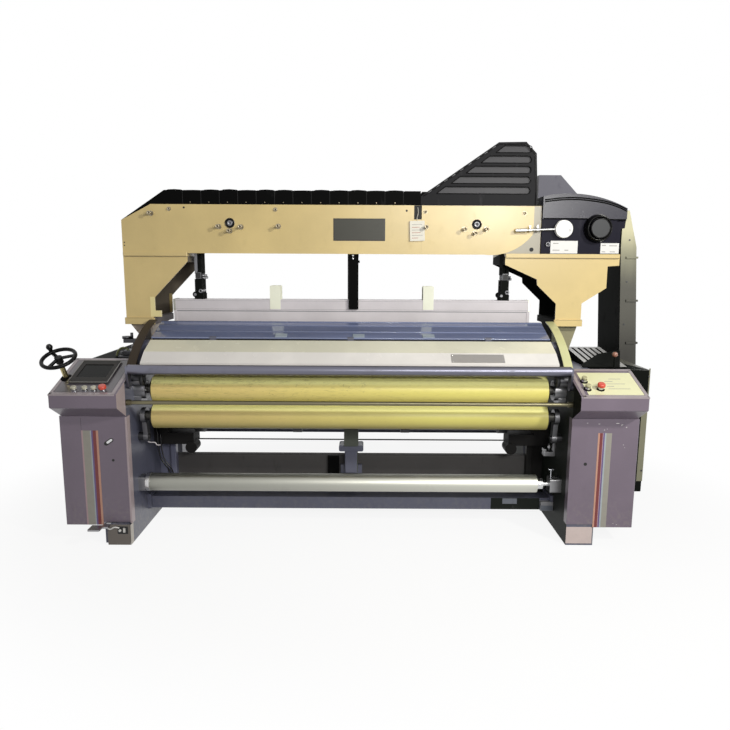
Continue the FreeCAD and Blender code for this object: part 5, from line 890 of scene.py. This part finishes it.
HOOD_TOP = 1896           # height of the hood's flat top
HOOD_BACK = 948           # y where its segments end
HOOD_PITCH = 104          # from one raised segment to the next
HOOD_LIFTS = (6, 2, 5, 7, 3, 6, 5, 2, 6, 4, 6, 3, 5)      # how far each segment bulges
HOOD_BOW = ((5, 0.0), (14, 0.7), (50, 1.0), (88, 0.6), (99, 0.0))      # x in a segment, share of its bulge
# corners (x, z) of the wedge between the hood and the louvred cover
HOOD_FILLER = ((398, 1872), (404, 1872), (425, 1883), (441, 1894), (398, 1894))


class LOOM_OT_top_hood(bpy.types.Operator):
    """Adds the raised segments, the seams and the rivets of the black top hood"""
    bl_idname = "loom.top_hood"
    bl_label = "Top hood"

    def execute(self, context):
        radius, pitch = trim().rivet_radius * 1000, trim().rivet_pitch
        rivet = bmesh.new()
        add_rod(rivet, radius, (-913, FACE_Y, 1831), (-913, FACE_Y - 2.2, 1831), 10, 0, 0.7)
        repeat("hood_rivets", rivet, 12, (pitch, 0, 0), "bolt")
        with piece("hood_segments", "black") as mesh:
            for index, lift in enumerate(HOOD_LIFTS):
                x0 = -1052 + HOOD_PITCH * index
                bow = [(x0 + x, HOOD_TOP + lift * share) for x, share in HOOD_BOW]
                add_prism(mesh, [(x, FACE_Y + 1, z) for x, z in bow], [(x, HOOD_BACK, z) for x, z in bow])
            add_plate(mesh, HOOD_FILLER, 900, 309)
        seam = bmesh.new()
        add_box(seam, -956.8, -955.2, FACE_Y - 0.6, FACE_Y + 0.4, 1822, 1892)
        repeat("hood_seams", seam, len(HOOD_LIFTS), (HOOD_PITCH / 1000, 0, 0), "hole")
        return {"FINISHED"}


LOUVRE_Y = 585.4                               # middle of the beads, on the louvred cover's front
LOUVRE_LEAN = (820 - 418) / (2163 - 1888)      # run over rise of the cover's raked left edge
LOUVRE_PITCH, LOUVRE_TALL = 56.0, 34           # from one louvre to the next, and its height
LOUVRE_EDGE = ((404, 1870), (425, 1881), (821, 2152), (969, 2155), (1023, 2100), (1037, 1905), (1037, 1824))


class LOOM_OT_louvre_trim(bpy.types.Operator):
    """Adds the raised beads around the louvres and along the cover's edge"""
    bl_idname = "loom.louvre_trim"
    bl_label = "Louvre trim"

    def execute(self, context):
        bead = trim().bead * 1000
        with piece("louvre_beads", "black_gloss") as mesh:
            for index in range(5):
                low = 1886.4 + LOUVRE_PITCH * index
                high = low + LOUVRE_TALL
                left_low = 418 + (low - 1888) * LOUVRE_LEAN + 66
                left_high = left_low + LOUVRE_TALL * LOUVRE_LEAN
                around = ((left_low - 4, low - 2.5), (988, low - 2.5), (1002, low + 3), (1007, low + 17),
                          (1002, high - 3), (988, high + 2.5), (left_high - 4, high + 2.5),
                          (left_low - 4, low - 2.5))
                add_tube(mesh, [(x, LOUVRE_Y, z) for x, z in around], bead, 8, 0, 1)
            add_tube(mesh, [(x, LOUVRE_Y, z) for x, z in LOUVRE_EDGE], bead * 1.1, 8, 0, 1)
        y = LOUVRE_Y - 1.6
        # painted highlights: short pale streaks along the raked edge, for its glints
        with piece("louvre_edge_glints", "cable_grey") as mesh:
            for step in range(9):
                share = (step + 0.35) / 9
                x, z = 425 + 396 * share, 1881 + 271 * share
                add_tube(mesh, ((x - 9, y, z - 4), (x + 9, y, z + 8.5)), 1.5, 6, 0, 1)
        return {"FINISHED"}


# corners (x, z) of the dobby's right flank, middle of its round boss, and lines of its visor
DOBBY_FLANK = ((1506, 1553), (1527, 1553), (1531, 1694), (1552, 1698), (1556, 1742), (1506, 1742))
LABEL_BARS = ((1148, 40, 1574), (1216, 22, 1574), (1150, 30, 1612), (1429, 22, 1602), (1470, 44, 1600),
              (1429, 20, 1566), (1475, 30, 1566))      # x, length and z of the printed bars
BOSS = (1397, DOBBY_Y, 1695)
VISOR_FOLD = ((1086, 577, 1750), (1250, 577, 1750), (1400, 577, 1748), (1550, 577, 1744))
VISOR_ARC = ((1090, 0), (1190, 11), (1290, 12), (1420, -4), (1500, -26), (1554, -50))      # x, rise


class LOOM_OT_dobby_trim(bpy.types.Operator):
    """Adds the dobby's flank, visor, boss ring, blank labels and screw, and the lever's white cap"""
    bl_idname = "loom.dobby_trim"
    bl_label = "Dobby trim"

    def execute(self, context):
        with piece("dobby_flank", "dobby_low") as mesh:
            add_plate(mesh, DOBBY_FLANK, 620, 34)
        with piece("dobby_labels", ("label", "ink")) as mesh:
            for x0, x1, z0, z1 in ((1135, 1290, 1555, 1626), (1421, 1526, 1556, 1614)):
                add_box(mesh, x0, x1, DOBBY_Y - 0.8, DOBBY_Y + 0.3, z0, z1, 0.3)
            for x, wide, z in LABEL_BARS:
                add_box(mesh, x, x + wide, DOBBY_Y - 1.0, DOBBY_Y - 0.7, z - 3, z + 2, index=1)
        with piece("dobby_boss_ring", ("black_gloss", "boss")) as mesh:
            add_lathe(mesh, ((0, 80), (-12, 80), (-40, 71), (-45, 69), (-47, 66), (-45, 62), (-40, 59),
                             (0, 59)), BOSS, BACK, 64)
            add_lathe(mesh, ((-44, 55), (-55.4, 55), (-56.4, 54), (-56.4, 50), (-44, 50)), BOSS, BACK, 48)
            add_lathe(mesh, ((-44, 50), (-54.8, 50), (-54.8, 0.01), (-44, 0.01)), BOSS, BACK, 48, 1, False)
        with piece("lever_disc_cap", ("disc", "cable_grey"), "level_lever") as mesh:
            add_lathe(mesh, ((0, 48.6), (-13.4, 48.6), (-14.6, 47.6), (-14.6, 0.01), (0, 0.01)),
                      (1200, 568.6, 1691), BACK, 48, 0, False)
            add_lathe(mesh, ((0, 6), (-1.2, 6), (-1.2, 3.6), (0, 3.6)), (1231, 554.2, 1683), BACK, 20, 1)
        with piece("dobby_visor_beads", "black") as mesh:
            add_tube(mesh, VISOR_FOLD, 2.4, 8, 0, 4)
            for y, low in ((577.4, 1852), (577.0, 1842)):
                add_tube(mesh, [(x, y, low + rise) for x, rise in VISOR_ARC], 3.6, 8, 0, 6)
        with piece("dobby_screws", "arm_steel") as mesh:
            add_lathe(mesh, ((0, 13), (-3, 13), (-4, 12), (-4, 8), (-2, 7.6), (-2, 0.01), (0, 0.01)),
                      (1118, DOBBY_Y - 7, 1606), BACK, 24)
        return {"FINISHED"}


# ================================================================ covers and boxes
STRIPES = {      # x of the first edge, then finish and width of each stripe, outwards from the loom's middle
    "right": (1302, (("stripe_tan", 9), ("stripe_red", 15), ("stripe_pink", 3), ("stripe_lilac", 8),
                     ("stripe_navy", 8), ("stripe_grey", 29))),
    "left": (-1315, (("stripe_tan", -11), ("stripe_red", -17), ("stripe_lilac", -8), ("stripe_navy", -6),
                     ("stripe_grey", -38), ("stripe_pink", -8))),
}


class LOOM_OT_stripes(bpy.types.Operator):
    """Lays the colour stripes on the two front covers"""
    bl_idname = "loom.stripes"
    bl_label = "Cover stripes"

    def execute(self, context):
        low, high = trim().stripe_low * 1000, trim().stripe_high * 1000
        for side, (x, rows) in STRIPES.items():
            with piece("cover_stripes_" + side, [finish for finish, wide in rows]) as mesh:
                for index, (finish, wide) in enumerate(rows):
                    add_box(mesh, x, x + wide, COVER_Y - 0.5, COVER_Y + 0.2, low, high, index=index)
                    x += wide
        return {"FINISHED"}


# x, z and length of the scuffs on the right cover
SCUFFS = ((1420, 668, 9), (1392, 676, 16), (1445, 655, 5), (1300, 672, 8), (1240, 676, 5), (1436, 560, 4),
          (1443, 545, 3), (1330, 640, 6), (1428, 118, 5), (1410, 124, 4), (1418, 664, 4), (1345, 645, 3))


def add_capsule(mesh, x, z, long, wide, y, thick):
    """A flat slot shape with round ends, tilted as the left cover's latch is."""
    lean = math.radians(35)
    points = []
    for end, start in ((1, -90), (-1, 90)):
        reach = end * (long - wide) / 2
        for step in range(9):
            turn = math.radians(start + 22.5 * step) + lean
            points.append((x + reach * math.cos(lean) + wide / 2 * math.cos(turn),
                           z + reach * math.sin(lean) + wide / 2 * math.sin(turn)))
    add_plate(mesh, points, y + thick, thick)


class LOOM_OT_cover_trim(bpy.types.Operator):
    """Adds the covers' pale edges, latch slot, holes, scuffs and floor labels"""
    bl_idname = "loom.cover_trim"
    bl_label = "Cover trim"

    def execute(self, context):
        # the left cover's inner edge: painted light, pale where it is lit
        with piece("cover_edges", "box_inner_pale") as mesh:
            add_box(mesh, -1172, -1161.2, COVER_Y - 0.6, COVER_Y + 46, 112, 699, 4.0)
        # black marks for the cover's holes, slot and slit: painted shade of their depth
        with piece("cover_holes", "hole") as mesh:
            add_capsule(mesh, -1262, 563, 56, 22, COVER_Y - 0.6, 0.9)
            add_stud(mesh, 7, -1244, 463, COVER_Y, 0.6)
            add_stud(mesh, 9, 1244, 455, COVER_Y, 0.6)
            add_box(mesh, -1402.6, -1401.4, COVER_Y - 0.3, COVER_Y + 0.2, 628, 692)
        with piece("cover_latch_pin", "bright") as mesh:
            add_capsule(mesh, -1257, 567, 36, 12, COVER_Y - 3.4, 3.2)
        with piece("cover_scuffs", "label") as mesh:
            for x, z, wide in SCUFFS:
                add_box(mesh, x, x + wide, COVER_Y - 0.35, COVER_Y + 0.1, z, z + 2.4)
        with piece("floor_label", "label_pink") as mesh:
            add_box(mesh, 1165, 1304, 124.2, 125.4, 10, 103, 0.3)
        return {"FINISHED"}


PRINT_BARS = ((1352, 62), (1322, 44), (1322, 100), (1322, 36), (1322, 112))      # x and length, from the top
RIGHT_BUTTONS = ((1216, 148), (1213, 74), (1279, 74))                            # x and distance up the slope


def add_frame(mesh, x0, x1, up0, up1, width, out0, out1, bevel):
    """A raised border on a sloping top: front, back, left and right bar."""
    for a, b, c, d in ((x0, x1, up0, up0 + width), (x0, x1, up1 - width, up1),
                       (x0, x0 + width, up0, up1), (x1 - width, x1, up0, up1)):
        add_panel_box(mesh, a, b, c, d, out0, out1, bevel)


class LOOM_OT_control_panels(bpy.types.Operator):
    """Dresses the sloping tops: borders, panels, screen frame and button rings"""
    bl_idname = "loom.control_panels"
    bl_label = "Control panels"

    def execute(self, context):
        wide = trim().rim_width * 1000
        with piece("panel_rims", "rim") as mesh:
            add_frame(mesh, -1502, -1172, 3, 366, wide, -0.5, 1.6, 0.7)
            add_frame(mesh, 1172, 1502, 3, 277, wide, -0.5, 1.6, 0.7)
            for near in (-1503.5, 1172):
                add_box(mesh, near, near + 331.5, -1.2, 3.5, 834, 841.5, 1.6)
        with piece("panel_plates", ("panel", "panel_pale")) as mesh:
            add_panel_box(mesh, -1482, -1192, 24, 346, 0.0, 0.9, 0.3)
            add_panel_box(mesh, 1204, 1484, 22, 240, 0.0, 0.9, 0.3, 1)
        with piece("panel_print_bars", "ink") as mesh:
            for row, (x, long) in enumerate(PRINT_BARS):
                up = 176 - row * 24
                add_panel_box(mesh, x, x + long, up - 2, up + 2, 0.9, 1.1)
        with piece("screen_border", "bezel_edge") as mesh:
            add_frame(mesh, -1449, -1237, 102, 332, 6, 8.6, 10.4, 0.6)
        with piece("button_wells", "black") as mesh:
            for x, up in RIGHT_BUTTONS:
                add_lathe(mesh, ((0, 20), (1.6, 20), (2.2, 18), (2.2, 14.6), (0, 14.6)), on_panel(x, up, 0.9),
                          PANEL_UP, 28)
        with piece("handwheel_foot_ring", "black") as mesh:
            shaft = tuple(Vector((-0.06, -0.45, 0.89)).normalized())
            add_lathe(mesh, ((-1, 30), (5, 30), (9, 25), (12, 17), (12, 14.5), (-1, 14.5)),
                      on_panel(-1470, 155, 0), shaft)
        return {"FINISHED"}


# ================================================================ rollers, tube and frames
class LOOM_OT_front_gear(bpy.types.Operator):
    """Adds the bolts, brackets and plates around the rollers and the front beam"""
    bl_idname = "loom.front_gear"
    bl_label = "Roller fittings"

    def execute(self, context):
        y, z = TAKE_UP
        boss_y, boss_z = 225, 880
        with piece("bearing_bolts", "bright") as mesh:
            for side in (-1, 1):
                for dy, dz in ((-38, 0), (38, 0), (0, 38)):
                    add_nut(mesh, 7, (side * 1105, y + dy, z + dz), (side * 1099, y + dy, z + dz))
                add_nut(mesh, 12, (side * 1112, boss_y, boss_z), (side * 1100, boss_y, boss_z))
                add_rod(mesh, 16, (side * 1148, y, z), (side * 1098, y, z))
        with piece("cover_boss_caps", "rubber") as mesh:
            for side in (-1, 1):
                add_lathe(mesh, ((0, 33.6), (14, 33.6), (18, 29), (18, 20), (0, 20)),
                          (side * 1113, boss_y, boss_z), (-side, 0, 0), 36)
        with piece("wire_hook", "rail") as mesh:
            add_tube(mesh, ((-1128, 338, 548), (-1128, 330, 505), (-1092, 330, 500), (-1080, 330, 486),
                            (-1062, 330, 486)), 3.2, 8, 0, 5)
        with piece("adjusting_bracket", "steel") as mesh:
            add_box(mesh, 1099, 1165, 382, 420, 415, 440, 3.0)
            add_box(mesh, 1099, 1112, 378, 424, 440, 458, 2.0)
            add_box(mesh, 1151, 1165, 384, 410, 440, 511, 2.0)
            add_rod(mesh, 6, (1132, 400, 440), (1132, 400, 486), 16)
            add_nut(mesh, 10, (1132, 400, 462), (1132, 400, 470))
        with piece("foot_tie_plates", ("cable_grey", "gear_blue")) as mesh:
            add_box(mesh, 1093, 1165, 372, 402, 126, 146, 2.0)
            add_box(mesh, 1093, 1165, 374, 402, 92, 126, 2.0, 1)
        with piece("front_beam_apron", ("smudged_shade_black", "gear_blue")) as mesh:
            add_box(mesh, 812, 1092, 398.4, 400.2, 91, 159, 0.4)
            add_box(mesh, 878, 962, 397.6, 398.6, 124, 157, 0.3, 1)
        # a black block beside the centre column, where the middle beam looks dark
        with piece("beam_dark_patch", "black") as mesh:
            add_box(mesh, -143, -74.5, 628, 650.4, 222, 334, 2.0)
        return {"FINISHED"}


class LOOM_OT_hoses(bpy.types.Operator):
    """Runs the two short hoses by the left frame"""
    bl_idname = "loom.hoses"
    bl_label = "Hoses"

    def execute(self, context):
        with piece("frame_hoses", ("cable_black", "cable_black")) as mesh:
            add_tube(mesh, ((-1162, 520, 560), (-1135, 505, 520), (-1128, 490, 440), (-1110, 480, 360),
                            (-1072, 480, 300), (-1064, 486, 255)), 5)
            add_tube(mesh, ((-1162, 540, 540), (-1122, 515, 500), (-1112, 500, 420), (-1094, 490, 350),
                            (-1058, 490, 300), (-1046, 496, 255)), 4.4, index=1)
        return {"FINISHED"}


class LOOM_OT_shield_clips(bpy.types.Operator):
    """Adds the shield's three clear clips, its ribs and the seal under it"""
    bl_idname = "loom.shield_clips"
    bl_label = "Shield clips"

    def execute(self, context):
        with piece("shield_clips", "clear_clip", "splash_shield") as mesh:
            spin = Matrix.Rotation(SHIELD_SLOPE, 4, "X")
            for x in (-386, 44, 432):
                add_box(mesh, x - 33, x + 33, 388, 424, 1090, 1099, 1.5, turn=spin)
        with piece("shield_ribs", "shield", "splash_shield") as mesh:
            for up, radius in ((72, 3.2), (150, 2.6), (196, 4.0)):
                y = 384 + up * math.cos(SHIELD_SLOPE)
                z = 1083 + up * math.sin(SHIELD_SLOPE) + 3.4
                add_rod(mesh, radius, (-1098, y, z), (1098, y, z), 10)
        with piece("shield_seal", "rubber") as mesh:
            add_box(mesh, -1096, 1096, 391, 395, 1050, 1080.5, 1.0)
        return {"FINISHED"}


BREAST_LOW, BREAST_HIGH = (184, 973.5), (250, 1024)      # y and z of the breast cover's lower facet


class LOOM_OT_breast_plate(bpy.types.Operator):
    """Fixes the blank silver plate to the breast cover"""
    bl_idname = "loom.breast_plate"
    bl_label = "Breast plate"

    def execute(self, context):
        lean = math.atan2(BREAST_HIGH[1] - BREAST_LOW[1], BREAST_HIGH[0] - BREAST_LOW[0])
        out = 1.4
        y = (BREAST_HIGH[0] + BREAST_LOW[0]) / 2 - out * math.sin(lean)
        z = (BREAST_HIGH[1] + BREAST_LOW[1]) / 2 + out * math.cos(lean)
        with piece("breast_plate", "plate_silver") as mesh:
            add_box(mesh, 536, 817, y - 30, y + 30, z - 0.9, z + 0.9, 0.5, turn=Matrix.Rotation(lean, 4, "X"))
        with piece("breast_plate_studs", "bright") as mesh:
            for x in (544, 809):
                for up in (-23, 23):
                    add_lathe(mesh, ((0, 3), (1.6, 3), (2.4, 1.8), (2.4, 0.01), (0, 0.01)),
                              (x, y + up * math.cos(lean), z + up * math.sin(lean) + 0.5),
                              (0, -math.sin(lean), math.cos(lean)), 12)
        return {"FINISHED"}


HEALD_ROWS = {"heald_frames_odd": (660.0, 712.0), "heald_frames_even": (686.0, 738.0)}      # y of the frames
RAIL_LINES = ((-0.25, 0.1, 1271, 1272.2), (-0.25, 0.1, 1222, 1223.4),      # y from the frame's front, and z
              (2.6, 3.2, 1209, 1213.5))
LINK_X = 900                                             # the lift links' distance from the loom's middle


class LOOM_OT_rail_trim(bpy.types.Operator):
    """Adds the heald rails' end caps, seams and lift-link knobs, and the front of the centre guide"""
    bl_idname = "loom.rail_trim"
    bl_label = "Heald rail trim"

    def execute(self, context):
        for body, rows in HEALD_ROWS.items():
            with piece(body + "_caps", "aluminium", body) as mesh:
                for y in rows:
                    for side in (-1, 1):
                        add_box(mesh, side * 1040, side * 1053, y - 7.4, y + 7, 1214, 1281.5, 1.2)
            with piece(body + "_lines", "cable_grey", body) as mesh:
                for front in (y - 6 for y in rows):
                    for y0, y1, z0, z1 in RAIL_LINES:
                        add_box(mesh, -1041, 1041, front + y0, front + y1, z0, z1)
            with piece(body + "_knobs", ("arm_steel", "rubber"), body) as mesh:
                for y in rows:
                    for side in (-1, 1):
                        self.link_knobs(mesh, side * LINK_X, y)
        with piece("centre_guide_front", ("black", "bright")) as mesh:
            add_box(mesh, -17, 39, 634, 645, 1226, 1552.4, 1.5)
            add_box(mesh, -17, 39, 645, 742, 1528, 1552.4, 1.5)
            for z in (1538, 1521):
                add_rod(mesh, 4.5, (8, 634.5, z), (8, 631, z), 14, 1)
            add_rod(mesh, 7, (46, 640, 1503), (38, 640, 1503), 16)
        return {"FINISHED"}

    @staticmethod
    def link_knobs(mesh, x, y):
        """The pins, rings and block of one lift link."""
        front = y - 6
        add_rod(mesh, 8, (x - 20, front - 1, 1308), (x - 20, front - 6, 1308), 20)
        add_lathe(mesh, ((0, 13), (-5, 13), (-7, 10), (-7, 5), (0, 5)), (x + 12, front + 1, 1328), BACK, 20)
        add_rod(mesh, 7, (x + 22, y, 1405), (x + 36, y, 1405), 12)
        add_rod(mesh, 6, (x + 18, y, 1418), (x + 31, y, 1418), 12)
        add_box(mesh, x - 17, x + 17, front - 1.5, y + 6.5, 1400, 1436, 2.0, 1)


TOP_GEAR_BOXES = ((-1312, -1176, 430, 560, 930, 972, 6.0), (-1290, -1206, 446, 540, 972, 1000, 6.0),
                  (-1282, -1178, 448, 492, 1044, 1066, 3.0))
TOP_GEAR_RODS = (         # radius, x, y, foot, top and sides
    (17, -1218, 470, 960, 1058, 20), (26, -1218, 470, 1010, 1030, 20), (8, -1240, 470, 1066, 1100, 16),
    (24, -1270, 470, 1066, 1080, 20), (30, -1190, 520, 962, 1020, 24), (19, -1300, 500, 960, 990, 24),
)


class LOOM_OT_left_fittings(bpy.types.Operator):
    """Adds the small gear on top of the left frame and the fittings of its foot"""
    bl_idname = "loom.left_fittings"
    bl_label = "Left frame fittings"

    def execute(self, context):
        with piece("thread_ring", "olive") as mesh:
            angles = (math.pi * step / 8 for step in range(9))
            arc = [(-1290 + 42 * math.cos(a), 470, 962 + 52 * math.sin(a)) for a in angles]
            add_tube(mesh, arc, 6, 10, 0, 3)
        with piece("frame_top_gear", "steel_dark") as mesh:
            for row in TOP_GEAR_BOXES:
                add_box(mesh, *row)
            for radius, x, y, low, high, sides in TOP_GEAR_RODS:
                add_rod(mesh, radius, (x, y, low), (x, y, high), sides)
        with piece("foot_fittings", ("foot_plate", "hole", "label", "bare_pale")) as mesh:
            add_box(mesh, -1286, -1166, 94.4, 96, 2, 116, 0.5)
            add_box(mesh, -1233, -1176, 93.6, 95, 63, 107, 0.6, 1)
            add_box(mesh, -1202, -1190, 88, 94.4, 73, 98, 1.0, 2)
            add_rod(mesh, 7, (-1219, 94, 84), (-1219, 88, 84), 16, 2)
            add_box(mesh, -1165.4, -1163.4, 97, 138, 2, 112, 0.4, 3)
            add_tube(mesh, ((-1222, 92, 98), (-1246, 86, 104), (-1270, 88, 92), (-1290, 92, 100)), 4, 8, 2, 5)
        return {"FINISHED"}


# corners (x, y, z) of the black sheet laid on the ribbed hood where it looks dark
HOOD_DARK_PATCH = ((1286, 401, 939.6), (1462, 629, 968.6), (1628, 721, 980.6), (1489, 363, 934.6), (1284, 363, 934.6))


class LOOM_OT_guard_trim(bpy.types.Operator):
    """Adds the screws of the tall guard and the casings, the casing's strip and a black sheet on the ribbed
    hood
    """
    bl_idname = "loom.guard_trim"
    bl_label = "Guard screws"

    def execute(self, context):
        with piece("guard_screws", "steel_dark") as mesh:
            for z in (902, 1130, 1390, 1640):
                add_stud(mesh, 5, 1672, z, 800, 3, 0, 12)
            for z in (440, 700):
                add_rod(mesh, 6, (1600, 380, z), (1606, 380, z), 12)
        with piece("casing_strip", ("olive_strip", "steel_dark")) as mesh:
            add_box(mesh, 1622, 1655, 350.6, 352.2, 282, 790, 0.5)
            add_box(mesh, 1648, 1655, 350.6, 352.2, 790, 930, 0.5)
            for z in (345, 885):
                add_rod(mesh, 4, (1646, 351, z), (1646, 345, z), 12, 1)
        with piece("hood_dark_patch", "frame_black") as mesh:
            add_prism(mesh, [(x, y, z + 2.4) for x, y, z in HOOD_DARK_PATCH], [(x, y, z - 1.5) for x, y, z in HOOD_DARK_PATCH])
        return {"FINISHED"}


# ================================================================ stage
FLOOR_REACH = 14.0        # half the floor's width, in metres


class LOOM_OT_stage(bpy.types.Operator):
    """Sets the camera, the soft light and the pale floor"""
    bl_idname = "loom.stage"
    bl_label = "Stage"

    def execute(self, context):
        scene, s = context.scene, context.scene.loom_stage
        lens = bpy.data.cameras.new("camera")
        lens.sensor_width = 36
        lens.lens = s.lens
        lens.clip_end = 100
        eye = into_scene("camera", lens)
        look = Matrix.Rotation(math.radians(90) - s.pitch, 4, "X") @ Matrix.Rotation(s.roll, 4, "Z")
        eye.matrix_world = Matrix.Translation(Vector(s.eye) + SHIFT) @ look
        scene.camera = eye
        scene.view_settings.view_transform = "Standard"
        world = Finish("sky", bpy.data.worlds.new("sky"))
        sky = world.nodes["Background"]
        world.feed(sky.inputs["Color"], (1.0, 1.0, 1.0))
        world.feed(sky.inputs["Strength"], s.sky + (1 - s.sky) * world.backdrop_rays())
        scene.world = world.material
        self.lamp("key", (2.9, -2.3, 3.0), (0.1, 0.4, 1.2), (0.28, 0.28), s.key, (1.0, 0.985, 0.90))
        self.lamp("front", (1.3, -3.6, 2.25), (0.15, 0.35, 0.9), (2.4, 0.9), s.front, (1.0, 0.99, 0.96))
        self.lamp("spot", (1.45, -2.7, 2.05), (0.8, 0.6, 1.7), (0.30, 0.22), s.spot, (1.0, 0.99, 0.94))
        floor = bpy.data.meshes.new("floor")
        corners = [(x * FLOOR_REACH, y * FLOOR_REACH, 0) for x, y in ((-1, -1), (1, -1), (1, 1), (-1, 1))]
        floor.from_pydata(corners, [], [(0, 1, 2, 3)])
        floor.materials.append(self.pale_floor())
        into_scene("floor", floor)
        return {"FINISHED"}

    @staticmethod
    def pale_floor():
        """A white floor that keeps the soft shadow and fades into the backdrop."""
        floor = Finish("pale_floor")
        seen = floor.backdrop_rays()
        away = floor.axis(0) * floor.axis(0) * 0.35 + floor.axis(1) * floor.axis(1) * 0.55
        floor.set(base=floor.mix(seen, (0.42, 0.42, 0.43), (0.95, 0.95, 0.95)), rough=0.9, specular=0.0)
        glow = floor.node("ShaderNodeEmission", {}, {"Color": (1.0, 1.0, 1.0), "Strength": 1.0})
        share = seen * (0.89 + 0.11 * away.band(0.9, 2.6))
        surface = Socket(floor, floor.surface.outputs[0])
        blend = floor.node("ShaderNodeMixShader", {}, {0: share, 1: surface, 2: glow})
        floor.feed(floor.nodes["Material Output"].inputs["Surface"], blend)
        return floor.material

    @staticmethod
    def lamp(name, place, target, size, watts, tint):
        """A rectangular lamp that looks from a place to a target, both in metres of the loom's frame."""
        light = bpy.data.lights.new(name, "AREA")
        light.shape = "RECTANGLE"
        light.size, light.size_y = size
        light.energy = watts
        light.color = tint
        lamp = into_scene(name, light)
        start, end = Vector(place) + SHIFT, Vector(target) + SHIFT
        look = (end - start).to_track_quat("-Z", "Y").to_matrix().to_4x4()
        lamp.matrix_world = Matrix.Translation(start) @ look


# ================================================================ the add-on
OPERATORS = (LOOM_OT_paint_solids, LOOM_OT_beam_fasteners, LOOM_OT_beam_plates, LOOM_OT_top_hood,
             LOOM_OT_louvre_trim, LOOM_OT_dobby_trim, LOOM_OT_stripes, LOOM_OT_cover_trim,
             LOOM_OT_control_panels, LOOM_OT_front_gear, LOOM_OT_hoses, LOOM_OT_shield_clips,
             LOOM_OT_breast_plate, LOOM_OT_rail_trim, LOOM_OT_left_fittings, LOOM_OT_guard_trim,
             LOOM_OT_stage)


class LOOM_PT_sidebar(bpy.types.Panel):
    """Lists the loom's operators and settings"""
    bl_idname = "LOOM_PT_sidebar"
    bl_label = "Power loom"
    bl_space_type = "VIEW_3D"
    bl_region_type = "UI"
    bl_category = "Loom"

    def draw(self, context):
        layout = self.layout
        for group in (context.scene.loom_paint, context.scene.loom_trim, context.scene.loom_stage):
            box = layout.box()
            for key in group.__annotations__:
                box.prop(group, key)
        for operator in OPERATORS:
            layout.operator(operator.bl_idname)


CLASSES = (LoomPaint, LoomTrim, LoomStage) + OPERATORS + (LOOM_PT_sidebar,)


def register():
    for each in CLASSES:
        bpy.utils.register_class(each)
    bpy.types.Scene.loom_paint = bpy.props.PointerProperty(type=LoomPaint)
    bpy.types.Scene.loom_trim = bpy.props.PointerProperty(type=LoomTrim)
    bpy.types.Scene.loom_stage = bpy.props.PointerProperty(type=LoomStage)


def unregister():
    del bpy.types.Scene.loom_stage
    del bpy.types.Scene.loom_trim
    del bpy.types.Scene.loom_paint
    for each in reversed(CLASSES):
        bpy.utils.unregister_class(each)


def main():
    register()
    for operator in OPERATORS:
        group, name = operator.bl_idname.split(".")
        getattr(getattr(bpy.ops, group), name)()


if __name__ == "__main__":
    main()
